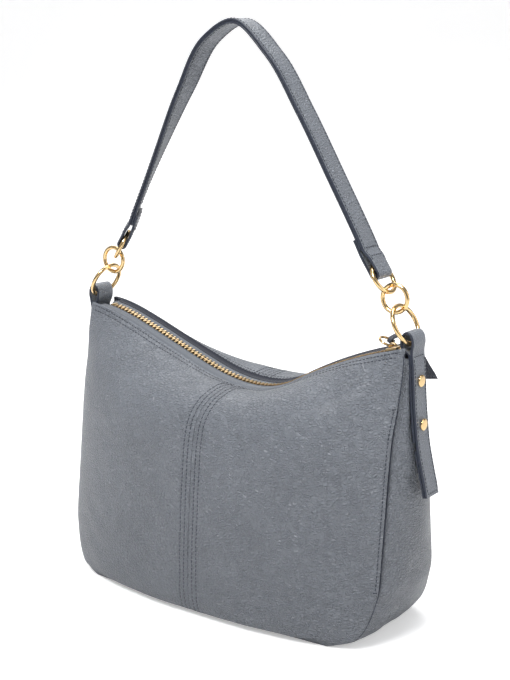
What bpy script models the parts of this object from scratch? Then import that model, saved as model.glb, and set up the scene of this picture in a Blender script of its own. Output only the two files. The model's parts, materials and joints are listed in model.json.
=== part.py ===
"""A leather hobo bag: two bulging body panels with a centre seam, a gusset strip round the ends and base, a
top zip that follows a dipped mouth, folded side tabs that hold a three-ring chain at each end, and one arched
shoulder strap.

World frame: metres, origin on the floor under the middle of the bag, X along the width, the front faces -Y,
Z up. Left is -X and right is +X. The soft body pieces are thin closed shells that follow the body surface,
each at its own depth below the outside.

Surface coordinates: v runs 0 (mouth) to 1 (base); u runs -1..1 from left to right across a panel;
w runs -1..1 from the front seam to the back seam across a gusset.
"""

import bpy
import bmesh
import numpy as np

for old in list(bpy.data.objects):
    bpy.data.objects.remove(old, do_unlink=True)

MM = 0.001
GAP = 0.3 * MM                     # clearance between touching pieces
Y_AXIS = np.array([0, 1.0, 0])
SIDES = ((-1, "left"), (1, "right"))
FACES = ((-1, "front"), (1, "back"))

COLOURS = {
    "leather": dict(colour=(0.155, 0.190, 0.225), roughness=0.55, metallic=0.0),
    "strap": dict(colour=(0.160, 0.195, 0.230), roughness=0.55, metallic=0.0),
    "gold": dict(colour=(0.86, 0.62, 0.28), roughness=0.18, metallic=1.0),
    "tape": dict(colour=(0.18, 0.20, 0.23), roughness=0.85, metallic=0.0),
    "cloth": dict(colour=(0.20, 0.21, 0.24), roughness=0.9, metallic=0.0),
    "board": dict(colour=(0.35, 0.30, 0.24), roughness=0.8, metallic=0.0),
    "dark": dict(colour=(0.03, 0.035, 0.05), roughness=0.6, metallic=0.0),
}


# ---------------------------------------------------------------- maths
def unit(a):
    a = np.asarray(a, float)
    return a / np.linalg.norm(a, axis=-1, keepdims=True)


def facing(normals, reference):
    """The vectors, turned round where they point away from the reference."""
    away = (normals * np.asarray(reference)).sum(-1, keepdims=True) < 0
    return np.where(away, -normals, normals)


def smoothstep(t):
    t = np.clip(t, 0, 1)
    return t * t * (3 - 2 * t)


def hermite(t, step, start, end, slope0, slope1):
    """Cubic between two knots a step apart, with given end slopes; t runs 0..1."""
    return ((1 + 2 * t) * (1 - t) ** 2 * start + t * (1 - t) ** 2 * step * slope0
            + t * t * (3 - 2 * t) * end + t * t * (t - 1) * step * slope1)


def curve(knots, v):
    """Smooth monotone interpolation of knot rows (v, a, b, ...) at v, one result per column."""
    knots = np.array(knots, float)
    x, y = knots[:, 0], knots[:, 1:]
    step = np.diff(x)[:, None]
    grade = np.diff(y, axis=0) / step
    slope = np.zeros_like(y)
    slope[0], slope[-1] = grade[0], grade[-1]
    same_sign = grade[:-1] * grade[1:] > 0
    weight0 = 2 * step[1:] + step[:-1]
    weight1 = step[1:] + 2 * step[:-1]
    with np.errstate(divide="ignore", invalid="ignore"):
        mean = (weight0 + weight1) / (weight0 / grade[:-1] + weight1 / grade[1:])
    slope[1:-1] = np.where(same_sign, mean, 0)
    v = np.clip(np.asarray(v, float), x[0], x[-1])
    i = np.clip(np.searchsorted(x, v, side="right") - 1, 0, len(x) - 2)
    width = x[i + 1] - x[i]
    t = ((v - x[i]) / width)[..., None]
    return hermite(t, width[..., None], y[i], y[i + 1], slope[i], slope[i + 1])


# ---------------------------------------------------------------- mesh builders
def material(name, kind):
    look = COLOURS[kind]
    mat = bpy.data.materials.new(name)
    mat.use_nodes = True
    inputs = mat.node_tree.nodes["Principled BSDF"].inputs
    inputs["Base Color"].default_value = (*look["colour"], 1)
    inputs["Roughness"].default_value = look["roughness"]
    inputs["Metallic"].default_value = look["metallic"]
    mat.diffuse_color = (*look["colour"], 1)
    return mat


def put(name, verts, faces, kind, smooth=True, angle=50):
    """One named closed piece with its own material and outward normals; angle (degrees) marks sharp edges."""
    mesh = bpy.data.meshes.new(name)
    mesh.from_pydata([tuple(map(float, v)) for v in verts], [], [list(map(int, f)) for f in faces])
    bm = bmesh.new()
    bm.from_mesh(mesh)
    bmesh.ops.recalc_face_normals(bm, faces=bm.faces)
    if bm.calc_volume(signed=True) < 0:
        bmesh.ops.reverse_faces(bm, faces=bm.faces)
    bm.to_mesh(mesh)
    bm.free()
    if smooth:
        mesh.shade_smooth()
        mesh.set_sharp_from_angle(angle=np.radians(angle))
    piece = bpy.data.objects.new(name, mesh)
    bpy.context.scene.collection.objects.link(piece)
    mesh.materials.append(material(name + "_mat", kind))
    return piece


def shell(name, outer, inner, kind, smooth=True):
    """Closed piece between two grids of the same size."""
    rows, cols = outer.shape[:2]
    verts = np.concatenate([outer.reshape(-1, 3), inner.reshape(-1, 3)])
    q = rows * cols                # index of the first inner vertex
    faces = []
    for i in range(rows - 1):
        for j in range(cols - 1):
            a = i * cols + j
            faces.append((a, a + 1, a + cols + 1, a + cols))
            faces.append((q + a, q + a + cols, q + a + cols + 1, q + a + 1))
    rim = list(range(cols)) + [i * cols + cols - 1 for i in range(1, rows)]
    rim += [(rows - 1) * cols + j for j in range(cols - 2, -1, -1)]
    rim += [i * cols for i in range(rows - 2, 0, -1)]
    for a, b in zip(rim, rim[1:] + rim[:1]):
        faces.append((b, a, q + a, q + b))
    return put(name, verts, faces, kind, smooth=smooth)


def loft(name, sections, kind, closed=False, smooth=True, angle=50):
    """Closed piece from equal sections (n, m, 3): capped at both ends, or joined end to start."""
    sections = np.asarray(sections, float)
    n, m = sections.shape[:2]
    faces = []
    for i in range(n if closed else n - 1):
        k = (i + 1) % n
        for j in range(m):
            faces.append((i * m + j, i * m + (j + 1) % m, k * m + (j + 1) % m, k * m + j))
    if not closed:
        faces.append(tuple(range(m))[::-1])
        faces.append(tuple((n - 1) * m + j for j in range(m)))
    return put(name, sections.reshape(-1, 3), faces, kind, smooth=smooth, angle=angle)


def wire_ring(name, centre, axis1, axis2, radius, wire_radius, segments=24):
    """Round-wire gold ring in the plane of the two axes."""
    axis1, axis2 = unit(axis1), unit(axis2)
    normal = np.cross(axis1, axis2)
    turn = np.linspace(0, 2 * np.pi, 8, endpoint=False)[:, None]
    sections = []
    for a in np.linspace(0, 2 * np.pi, segments, endpoint=False):
        out = np.cos(a) * axis1 + np.sin(a) * axis2
        sections.append(centre + out * (radius + wire_radius * np.cos(turn))
                        + normal * wire_radius * np.sin(turn))
    return loft(name, sections, "gold", closed=True, angle=80)


def ribbon(name, path, width_dir, normal, half_width, thick, kind, columns=2):
    """Flat strip with a rectangular section swept along a path."""
    across = unit(width_dir) * np.broadcast_to(half_width, path.shape[:1])[:, None]
    lift = unit(normal) * thick / 2
    cols = np.linspace(-1, 1, columns)
    top = [path + across * c + lift for c in cols]
    bottom = [path + across * c - lift for c in cols[::-1]]
    return loft(name, np.stack(top + bottom, 1), kind)


def lathe(name, origin, axis, profile, segments=18):
    """Round gold piece about an axis: profile rows are (distance along the axis, radius)."""
    origin, axis = np.asarray(origin, float), unit(axis)
    side1 = unit(np.cross(axis, [0, 1, 0.1]))
    side2 = np.cross(axis, side1)
    turn = np.linspace(0, 2 * np.pi, segments, endpoint=False)[:, None]
    spokes = side1 * np.cos(turn) + side2 * np.sin(turn)
    return loft(name, [origin + axis * a + spokes * r for a, r in profile], "gold", angle=45)


def box(name, centre, size, axes):
    """Gold box with its own axes."""
    half = [np.asarray(axis, float) * length / 2 for axis, length in zip(axes, size)]
    corners = [centre + i * half[0] + j * half[1] + k * half[2]
               for k in (-1, 1) for i, j in ((-1, -1), (1, -1), (1, 1), (-1, 1))]
    faces = [(0, 3, 2, 1), (4, 5, 6, 7), (0, 1, 5, 4), (1, 2, 6, 5), (2, 3, 7, 6), (3, 0, 4, 7)]
    return put(name, corners, faces, "gold", smooth=False)


def combine(target, tools, how):
    """Applies exact Booleans of helper bodies to target, then removes the helpers."""
    for k, tool in enumerate(tools):
        mod = target.modifiers.new(f"{how}_{k}", "BOOLEAN")
        mod.operation = how
        mod.solver = "EXACT"
        mod.object = tool
    bpy.context.view_layer.update()
    graph = bpy.context.evaluated_depsgraph_get()
    mesh = bpy.data.meshes.new_from_object(target.evaluated_get(graph))
    target.modifiers.clear()
    old_mesh = target.data
    target.data = mesh
    name = old_mesh.name
    bpy.data.meshes.remove(old_mesh)
    mesh.name = name
    for tool in tools:
        bpy.data.objects.remove(tool, do_unlink=True)
    mesh.shade_smooth()
    mesh.set_sharp_from_angle(angle=np.radians(40))


# ---------------------------------------------------------------- zip track
# The right run is an arc; the rest is a smooth sag through knots: X, Z, slope. The last knot meets the arc.
ARC_R = 0.400
ARC_X, ARC_Z = 0.2514, -0.1514
SAG = ((-.1650, .2394, -.02), (-.1200, .2304, -.345), (-.0330, .1974, -.36), (.0180, .1876, 0.0),
       (.0560, .1976, .560))


def track_z(x):
    """Height of the zip's middle plane at X."""
    x = np.asarray(x, float)
    z = ARC_Z + np.sqrt(ARC_R ** 2 - np.minimum(ARC_X - x, ARC_R * 0.99) ** 2)
    for (x0, z0, slope0), (x1, z1, slope1) in zip(SAG, SAG[1:]):
        t = np.clip((x - x0) / (x1 - x0), 0, 1)
        z = np.where((x >= x0) & (x < x1), hermite(t, x1 - x0, z0, z1, slope0, slope1), z)
    return np.where(x < SAG[0][0], SAG[0][1], z)


def along(x):
    """Point, tangent and upward normal of the zip track at X."""
    e = 1e-4
    slope = (track_z(x + e) - track_z(x - e)) / (2 * e)
    tangent = unit(np.stack([np.ones_like(slope), 0 * slope, slope], -1))
    normal = np.stack([-tangent[..., 2], 0 * slope, tangent[..., 0]], -1)
    return np.stack([x, 0 * x, track_z(x)], -1), tangent, normal


# ---------------------------------------------------------------- body surface
HALF_WIDTH = 0.165                 # X of the panel top corners
LEATHER = 1.6 * MM                 # outer leather
EDGE_RISE = 2.2 * MM               # panel edge above the zip plane
FRONT_DROP = 2.0 * MM              # the front edge stands lower than the back edge
SAG_DROP = 2.0 * MM                # and lower still right of the dip
LEFT_LIFT = 1.0105                 # the left gusset stands a touch taller than the right
LIFT_FULL_Z = 0.2                  # height at which that lift is complete
BACK_RISE = 4.0 * MM               # the back panel swells up behind the dip of the mouth
BULGE_P, BULGE_Q = 2.6, 0.80       # exponents of a panel's plan outline
MITRE = 1.3                        # depth along a mitre per depth below the surface
# seam between a panel and the gusset: v, X, Y, Z
SEAM = ((0.00, .1650, .0155, .2385), (0.08, .1650, .0175, .2210), (0.18, .1630, .0195, .1970),
        (0.30, .1610, .0264, .1670), (0.52, .1600, .0344, .1120), (0.74, .1600, .0412, .0570),
        (0.85, .1560, .0448, .0310), (0.94, .1455, .0500, .0085), (1.00, .1250, .0560, .0))
# section through the middle of a panel: v, Y, Z
CROWN = ((0.00, .0155, .1900), (0.05, .0280, .1902), (0.13, .0490, .1858), (0.20, .0640, .1760),
         (0.27, .0710, .1640), (0.36, .0745, .1430), (0.55, .0768, .1000), (0.72, .0785, .0580),
         (0.84, .0790, .0300), (0.94, .0745, .0060), (1.00, .0600, .0))
# how far the gusset bows out past its seams: v, bow
GUSSET_BOW = ((0, -.001), (.08, 0), (.18, .0032), (.30, .0076), (.40, .0098), (.52, .0106), (.74, .0096),
              (.85, .0068), (.94, .0025), (1.0, 0))
# how far each end is filled out past the seam line (negative: drawn in): v, right end, left end
END_FILL = ((0, 0, -.0044), (.06, 0, -.0034), (.11, .0001, -.0021), (.18, .0005, -.0006), (.26, .0011, 0),
            (.40, .0024, 0), (.52, .0032, 0), (.74, .0033, 0), (.85, .0024, 0), (.94, .0010, 0), (1.0, 0, 0))
MID_TOP = track_z(0.0) + EDGE_RISE
END_TOP = track_z(HALF_WIDTH) + EDGE_RISE


def seam_z(seam, v):
    """Height of the seam, with its top brought to the mouth's end height."""
    return seam[..., 2] + (END_TOP - SEAM[0][3]) * (1 - v) ** 4


def panel(u, v, face):
    """Outer surface of the front (face=-1) or back (face=+1) panel."""
    u, v = np.broadcast_arrays(np.asarray(u, float), np.asarray(v, float))
    seam, crown, fill = curve(SEAM, v), curve(CROWN, v), curve(END_FILL, v)
    x = (u * seam[..., 0] + fill[..., 0] * np.clip(u, 0, 1) ** 6
         - fill[..., 1] * np.clip(-u, 0, 1) ** 6)
    bulge = np.maximum(1 - np.abs(u) ** BULGE_P, 0) ** BULGE_Q
    y = seam[..., 1] + (crown[..., 0] - seam[..., 1]) * bulge
    # near the top the height across follows the zip track; lower down it rises evenly to the ends
    mouth = (track_z(u * HALF_WIDTH) + EDGE_RISE - MID_TOP) / (END_TOP - MID_TOP)
    low = smoothstep(v / 0.45)
    rise = mouth * (1 - low) + np.abs(u) ** 2.2 * low
    mid_z = crown[..., 1] + (MID_TOP - CROWN[0][2]) * (1 - v) ** 4
    z = mid_z + (seam_z(seam, v) - mid_z) * rise
    if face < 0:
        drop = FRONT_DROP + SAG_DROP * np.exp(-((u - 0.40) / 0.26) ** 2)
        z = z - drop * (1 - np.abs(u) ** 8) * np.clip(1 - v / 0.12, 0, 1) ** 2
    else:
        down = smoothstep((v - 0.04) / 0.11) * np.exp(-(v / 0.24) ** 4)
        z = z + BACK_RISE * down * np.exp(-((u - 0.12) / 0.45) ** 2)
    return np.stack([x, face * y, np.maximum(z, 0)], -1)


def seam_tangent(v):
    """X and Z of the seam's unit tangent in its side view, towards the base."""
    e = 1e-3
    step = curve(SEAM, np.clip(v + e, 0, 1)) - curve(SEAM, np.clip(v - e, 0, 1))
    x, z = step[..., 0], step[..., 2]
    length = np.hypot(x, z)
    return x / length, z / length


def seam_dir(side, v, face):
    """Unit direction into the bag from the seam: the mitre between the panel and the gusset or base."""
    x, z = seam_tangent(v)
    return unit(np.stack([side * z, -face + 0 * x, -x], -1))


def panel_normal(u, v, face):
    """Outward unit normal of a panel, steadied next to its edges."""
    e = 2e-3
    u, v = np.broadcast_arrays(np.asarray(u, float), np.asarray(v, float))
    u, v = np.clip(u, -0.985, 0.985), np.clip(v, 0.004, 0.985)
    du = panel(u + e, v, face) - panel(u - e, v, face)
    dv = panel(u, v + e, face) - panel(u, v - e, face)
    return face * unit(np.cross(du, dv))


def panel_inset(u, v, face, depth):
    """Point at a depth under the panel. Next to a seam the depth runs along the mitre."""
    u, v = np.broadcast_arrays(np.asarray(u, float), np.asarray(v, float))
    end_mitre = seam_dir(np.where(u >= 0, 1.0, -1.0), v, face) * MITRE
    base_mitre = np.array([0, -face, 1.0]) / np.sqrt(2) * MITRE
    near = np.clip((np.abs(u) - 0.93) / 0.055, 0, 1)[..., None]
    low = np.clip((v - 0.90) / 0.08, 0, 1)[..., None]
    inward = -panel_normal(u, v, face) * (1 - near) + end_mitre * near
    inward = inward * (1 - low) + (base_mitre * (1 - near) + end_mitre * near) * low
    return panel(u, v, face) + inward * depth


def gusset(w, v, side):
    """Outer surface of the left (side=-1) or right (side=+1) gusset."""
    w, v = np.broadcast_arrays(np.asarray(w, float), np.asarray(v, float))
    seam = curve(SEAM, v)
    tangent_x, tangent_z = seam_tangent(v)
    bow = curve(GUSSET_BOW, v)[..., 0] * (1 - w * w)
    x = seam[..., 0] - tangent_z * bow + curve(END_FILL, v)[..., 0 if side > 0 else 1]
    z = seam_z(seam, v) + tangent_x * bow
    if side < 0:
        z = z * (1 + (LEFT_LIFT - 1) * np.clip(z / LIFT_FULL_Z, 0, 1))
    return np.stack([side * x, w * seam[..., 1], np.maximum(z, 0)], -1)


def gusset_inset(w, v, side, depth):
    """Point at a depth under the gusset. Next to a seam the depth runs along the mitre."""
    w, v = np.broadcast_arrays(np.asarray(w, float), np.asarray(v, float))
    e = 2e-3
    wc, vc = np.clip(w, -0.98, 0.98), np.clip(v, 0.004, 0.99)
    normal = unit(np.cross(gusset(wc + e, vc, side) - gusset(wc - e, vc, side),
                           gusset(wc, vc + e, side) - gusset(wc, vc - e, side)))
    normal = facing(normal, (side, 0, -0.6))
    mitre = seam_dir(side, v, np.where(w >= 0, 1.0, -1.0)) * MITRE
    near = np.clip((np.abs(w) - 0.80) / 0.15, 0, 1)[..., None]
    return gusset(w, v, side) + (-normal * (1 - near) + mitre * near) * depth


# ---------------------------------------------------------------- outer panels
PANEL_V = np.array([0, .02, .05, .10, .15, .20, .26, .34, .44, .55, .66, .76, .84, .90, .95, 1.0])
COLUMNS = 1 - (1 - np.linspace(0, 1, 13)) ** 1.5   # centre seam to end, crowded towards the end
U_END = 0.9990
SEAM_LEAN = 0.0062                 # X of the centre seam at the mouth
SEAM_CLEAR_U = 0.15 * MM / 0.16    # half the gap at the centre seam, as u
POCKET_V = (0.165, 0.790)          # height range of the side slip-pocket mouth
POCKET_U = 0.990                   # where the pocket panel's free edge runs
POCKET_BACK_U = 0.9975
POCKET_BACK_T = 0.8 * MM


def seam_u(v):
    """The centre seam leans a little to the right near the mouth."""
    return SEAM_LEAN * (1 - v) ** 2 / curve(SEAM, v)[..., 0]


def half_panel(name, face, side, pocket=False):
    v = PANEL_V[:, None]
    start = seam_u(v) + side * SEAM_CLEAR_U
    end = side * U_END
    if pocket:
        slit = np.clip((v - POCKET_V[0]) / 0.03, 0, 1) * np.clip((POCKET_V[1] - v) / 0.03, 0, 1)
        end = U_END + (POCKET_U - U_END) * slit
    t = COLUMNS[None, :]
    u = start + (end - start) * t
    outer = panel(u, v, face)
    inner = panel_inset(u, v, face, LEATHER)
    if pocket:
        # the free edge of the slit is cut square instead of mitred
        free = (slit > 0.5) & (t > 0.99)
        square = outer - panel_normal(u, v, face) * LEATHER
        inner = np.where(free[..., None], square, inner)
    shell(name, outer, inner, "leather")


def pocket_back():
    """The layer behind the slit mouth of the pocket."""
    v = PANEL_V[(PANEL_V > 0.14) & (PANEL_V < 0.91)][:, None]
    u = POCKET_BACK_U * COLUMNS[None, 1:]
    depth = LEATHER + GAP
    shell("pocket_back", panel_inset(u, v, -1, depth), panel_inset(u, v, -1, depth + POCKET_BACK_T),
          "leather")


# ---------------------------------------------------------------- gussets and base
GUSSET_TOP = 0.022                 # v of the gusset's top edge
TAB_NOTCH = 0.019                  # the edge dips by this much v behind the tab
GUSSET_V = np.array([GUSSET_TOP, .065, .12, .20, .30, .42, .54, .66, .76, .84, .90, .95, .994])
GUSSET_CLEAR = 0.25 * MM           # Y clearance to each panel
BASE_CLEAR_X, BASE_CLEAR_Y = 0.3 * MM, 0.4 * MM
BOARD_HALF_X, BOARD_HALF_Y, BOARD_T = 0.114, 0.0475, 2 * MM
BOARD_Z = LEATHER + GAP


def gusset_piece(side, tag):
    v = GUSSET_V[:, None]
    w = np.linspace(-1, 1, 11)[None, :] * (1 - GUSSET_CLEAR / curve(SEAM, v)[..., 1])
    v = v + 0 * w
    v[0] += TAB_NOTCH * (1 - np.abs(w[0]) ** 8)
    shell("gusset_" + tag, gusset(w, v, side), gusset_inset(w, v, side, LEATHER), "leather")


def base_panel():
    """Flat panel between the four lower seams."""
    u = np.linspace(-0.9985, 0.9985, 9)
    half_y = np.abs(panel(u, np.ones(9), 1)[:, 1]) - BASE_CLEAR_Y
    y = np.linspace(-1, 1, 5)[:, None] * half_y
    x = u * SEAM[-1][1] - np.sign(u) * BASE_CLEAR_X * (np.abs(u) > 0.99)
    under = np.stack([np.broadcast_to(x, (5, 9)), y, np.zeros((5, 9))], -1)
    top = under * np.array([0.985, 0.97, 1]) + np.array([0, 0, LEATHER])
    shell("base_panel", under, top, "leather", smooth=False)


def base_board():
    """Stiff rounded board resting on the base panel."""
    turn = np.linspace(0, 2 * np.pi, 32, endpoint=False)
    cos, sin = np.cos(turn), np.sin(turn)
    x = BOARD_HALF_X * np.sign(cos) * np.abs(cos) ** 0.25
    y = BOARD_HALF_Y * np.sign(sin) * np.abs(sin) ** 0.35
    sections = [np.stack([x, y, np.full(32, z)], -1) for z in (BOARD_Z, BOARD_Z + BOARD_T)]
    loft("base_board", sections, "board", smooth=False)


# ---------------------------------------------------------------- lining
LINING_V = (.115, .18, .26, .36, .48, .60, .72, .82, .89)
LINING_DEPTH, LINING_T = 4.6 * MM, 0.6 * MM
LINING_FLOOR = BOARD_Z + BOARD_T + GAP


def lining_ring(v, depth):
    """Closed loop of points round the inside of the bag at v."""
    u = np.linspace(-0.985, 0.985, 13)
    w = np.linspace(-0.86, 0.86, 5)
    return np.concatenate([panel_inset(u, v, -1, depth), gusset_inset(w, v, 1, depth),
                           panel_inset(u[::-1], v, 1, depth), gusset_inset(w[::-1], v, -1, depth)])


def lining_skin(depth, floor_z):
    """Rings from the open top down to a flat floor."""
    floor = lining_ring(1.0, depth)
    floor[:, 2] = floor_z
    return [lining_ring(v, depth) for v in LINING_V] + [floor]


def lining():
    """One open-topped pouch."""
    outer = lining_skin(LINING_DEPTH, LINING_FLOOR)
    inner = lining_skin(LINING_DEPTH + LINING_T, LINING_FLOOR + LINING_T)
    n, m = len(outer), len(outer[0])
    q = n * m                      # index of the first inner vertex
    faces = []
    for i in range(n - 1):
        for j in range(m):
            k = (j + 1) % m
            a, b, c, d = i * m + j, i * m + k, (i + 1) * m + k, (i + 1) * m + j
            faces += [(a, b, c, d), (q + a, q + d, q + c, q + b)]
    for j in range(m):
        k = (j + 1) % m
        faces.append((j, k, q + k, q + j))
    floor = tuple((n - 1) * m + j for j in range(m))
    faces += [floor, tuple(q + j for j in floor)[::-1]]
    put("lining", np.concatenate(outer + inner), faces, "cloth")


# ---------------------------------------------------------------- mouth facings and zip tapes
TAPE_DEPTH = LEATHER + GAP + 0.6 * MM       # middle of the tape under the panel
TAPE_HALF_T = 0.25 * MM
TAPE_FLAT_Y = (0.0105, 0.0043)              # the tape's flat run towards the chain
FACING_DEPTH = LEATHER + 3 * GAP + 0.9 * MM
FACING_T = 1.0 * MM


def across(v, drop):
    """u of the panels' columns over the whole width at v, without the outermost ones."""
    mid = seam_u(np.asarray(v, float))
    u = np.concatenate([mid - (U_END + mid) * COLUMNS[:0:-1], mid + (U_END - mid) * COLUMNS])
    return u[drop:-drop]


def tape_skin(face, sink):
    """One skin of a tape, sunk below its middle: rows under the panel, then flat rows at the zip."""
    under = [panel_inset(across(v, 2), v, face, TAPE_DEPTH + sink)
             for v in (PANEL_V[2], PANEL_V[1], 0.002)]
    x = across(0, 2) * HALF_WIDTH
    flat = [np.stack([x, np.full_like(x, face * y), track_z(x) - sink], -1) for y in TAPE_FLAT_Y]
    return np.stack(under + flat)


def mouth_edge(face, tag):
    shell("zip_tape_" + tag, tape_skin(face, -TAPE_HALF_T), tape_skin(face, TAPE_HALF_T), "tape")
    v = np.array([.006, *PANEL_V[1:4]])[:, None]
    u = np.array([across(row, 1) for row in v[:, 0]])
    shell("mouth_facing_" + tag, panel_inset(u, v, face, FACING_DEPTH),
          panel_inset(u, v, face, FACING_DEPTH + FACING_T), "leather")


# ---------------------------------------------------------------- zip chain
CHAIN_FROM, CHAIN_TO = -0.1440, 0.1500
TOOTH_PITCH = 3.9 * MM
TOOTH_START = 1.0 * MM             # first front tooth from the chain's left end
TOOTH_HALF_Z = 1.2 * MM
TOOTH_HALF_X = 0.75 * MM
TOOTH_Y = (4.0 * MM, 2.1 * MM, -1.1 * MM)   # bead's outer edge, bead's inner edge, tooth tip
STOPS = (("left", -0.1480, -0.1457), ("right", 0.1531, 0.1547))   # name, X from, X to
STOP_WIDTH, STOP_HEIGHT = 7.6 * MM, 2.6 * MM

# Each section has six vertices: upper and lower at each TOOTH_Y. Faces to the next section (+6):
BEAD_FACES = ((0, 2, 8, 6), (1, 7, 9, 3), (0, 6, 7, 1))
TOOTH_FACES = ((2, 4, 10, 8), (3, 9, 11, 5), (4, 5, 11, 10), (2, 3, 5, 4), (8, 10, 11, 9))
SPACE_FACES = ((2, 3, 9, 8),)


def tooth_x(phase):
    """X of teeth spaced evenly along the length of the track."""
    x = np.linspace(CHAIN_FROM, CHAIN_TO, 4001)
    steps = np.linalg.norm(np.diff(along(x)[0], axis=0), axis=1)
    length = np.concatenate([[0], np.cumsum(steps)])
    wanted = np.arange(phase, length[-1] - TOOTH_PITCH * 0.4, TOOTH_PITCH)
    return np.interp(wanted, length, x)


def teeth_row(name, face, phase):
    """One side of the chain: a bead with a tooth at every pitch, as one body."""
    x = (tooth_x(phase)[:, None] + np.array([-TOOTH_HALF_X, TOOTH_HALF_X])).ravel()
    points, _, normals = along(x)
    verts = [point + normal * TOOTH_HALF_Z * up + Y_AXIS * face * y
             for point, normal in zip(points, normals) for y in TOOTH_Y for up in (1, -1)]
    last = 6 * (len(x) - 1)
    faces = [(0, 1, 3, 2), (last, last + 2, last + 3, last + 1)]
    for k in range(len(x) - 1):
        inside = TOOTH_FACES if k % 2 == 0 else SPACE_FACES
        faces += [tuple(6 * k + i for i in quad) for quad in BEAD_FACES + inside]
    put(name, verts, faces, "gold", smooth=False)


def zip_stop(tag, x0, x1):
    point, tangent, normal = along(np.array((x0 + x1) / 2))
    box("zip_stop_" + tag, point, (x1 - x0, STOP_WIDTH, STOP_HEIGHT), (tangent, Y_AXIS, normal))


# ---------------------------------------------------------------- zip slider
SLIDER_X = 0.1470
SLIDER_LEN, SLIDER_WIDTH = 11 * MM, 10.8 * MM
PLATE_T, PLATE_OFFSET = 1.1 * MM, 2.05 * MM        # offset of each plate from the zip plane
POST_SIZE, POST_INSET = (1.2 * MM, 2.0 * MM, 4.0 * MM), 0.7 * MM
LIP_SIZE, LIP_OFFSET = (SLIDER_LEN - 0.8 * MM, 0.8 * MM, 0.9 * MM), 1.25 * MM
BRIDGE_SHIFT = -0.5 * MM           # middle of the bridge along the track
BRIDGE_FOOT = 2.3 * MM             # its feet above the zip plane
BRIDGE_HALF_LEN, BRIDGE_RISE = 3.2 * MM, 3.6 * MM
BRIDGE_HALF_W, BRIDGE_HALF_T = 1.4 * MM, 0.55 * MM
SLIDER_AT, SLIDER_ALONG, SLIDER_UP = along(np.array(SLIDER_X))


def slider_block(name, offset, size):
    """Box in the slider's frame: along the track, across it, and up."""
    axes = (SLIDER_ALONG, Y_AXIS, SLIDER_UP)
    return box(name, SLIDER_AT + sum(a * d for a, d in zip(axes, offset)), size, axes)


def zip_slider():
    """Two plates joined by a post past the last tooth, side lips, and a bridge for the pull ring."""
    plate_size = (SLIDER_LEN, SLIDER_WIDTH, PLATE_T)
    slider = slider_block("zip_slider", (0, 0, PLATE_OFFSET), plate_size)
    parts = [slider_block("lower_plate", (0, 0, -PLATE_OFFSET), plate_size),
             slider_block("post", (SLIDER_LEN / 2 - POST_INSET, 0, 0), POST_SIZE)]
    lip_y = (SLIDER_WIDTH - LIP_SIZE[1]) / 2
    for y in (-1, 1):
        for z in (-1, 1):
            parts.append(slider_block("lip", (0, y * lip_y, z * LIP_OFFSET), LIP_SIZE))
    sections = []
    for a in np.linspace(0, np.pi, 9):
        centre = (SLIDER_AT + SLIDER_ALONG * (BRIDGE_SHIFT + BRIDGE_HALF_LEN * np.cos(a))
                  + SLIDER_UP * (BRIDGE_FOOT + BRIDGE_RISE * np.sin(a)))
        out = (SLIDER_ALONG * np.cos(a) + SLIDER_UP * np.sin(a)) * BRIDGE_HALF_T
        half = Y_AXIS * BRIDGE_HALF_W
        sections.append([centre + half + out, centre - half + out,
                         centre - half - out, centre + half - out])
    parts.append(loft("bridge", sections, "gold"))
    combine(slider, parts, "UNION")


# ---------------------------------------------------------------- pull ring and tag
PULL_RING_R, PULL_WIRE_R = 6.0 * MM, 1.0 * MM
PULL_LEAN = np.radians(155.0)      # from +X, in the XZ plane
PULL_HEIGHT = 4.05 * MM            # ring's lowest wire centre above the zip plane
PULL_DIR = np.array([np.cos(PULL_LEAN), 0, np.sin(PULL_LEAN)])
PULL_CENTRE = (SLIDER_AT + SLIDER_ALONG * BRIDGE_SHIFT + SLIDER_UP * PULL_HEIGHT
               + PULL_DIR * PULL_RING_R)
TAG_LOOP_R = 2.15 * MM
TAG_LOOP_HALF_W = 2.0 * MM
TAG_T = 1.2 * MM
TAG_TAIL = ((4.5, 0.85), (2.0, 1.3))   # the loop's short end, mm: behind the wire, below it
TAG_END_WIDTH_DIR = (.81, .58, 0.0)
# the tag draped over the back panel: X, Y, Z, half width in mm
TAG_DRAPE = ((.1420, .0105, .24400, 2.2), (.1438, .0150, .24330, 2.8), (.1465, .0195, .24150, 3.2),
             (.1492, .0232, .23800, 3.4), (.1518, .0260, .23250, 3.7), (.1543, .0282, .22600, 4.0),
             (.1570, .0300, .21900, 4.6), (.1598, .0316, .21200, 5.8), (.1612, .0324, .20730, 6.6))


def pull_tag():
    """Leather tag looped round the back of the pull ring and hanging down the back panel."""
    wire = PULL_CENTRE + Y_AXIS * PULL_RING_R
    up = unit([PULL_DIR[2], 0, -PULL_DIR[0]])
    tail = [wire + Y_AXIS * back * MM - up * below * MM for back, below in TAG_TAIL]
    a = np.radians(np.linspace(-90, 90, 9))[:, None]
    out = -Y_AXIS * np.cos(a) + up * np.sin(a)
    loop = np.concatenate([tail, wire + out * TAG_LOOP_R])

    table = np.array(TAG_DRAPE)
    drape = table[:, :3]
    tangent = unit(np.gradient(np.concatenate([loop[-1:], drape]), axis=0))[1:]
    k = np.linspace(0, 1, len(drape))[:, None] ** 0.5
    across_drape = unit(-PULL_DIR * (1 - k) + unit(TAG_END_WIDTH_DIR) * k)
    drape_normal = facing(unit(np.cross(across_drape, tangent)), (0, 0.3, 1))
    ribbon("pull_tag", np.concatenate([loop, drape]),
           np.concatenate([np.tile(-PULL_DIR, (len(loop), 1)), across_drape]),
           np.concatenate([[-up, -up], out, drape_normal]),
           np.concatenate([np.full(len(loop), TAG_LOOP_HALF_W), table[:, 3] * MM]), TAG_T, "dark")


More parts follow.
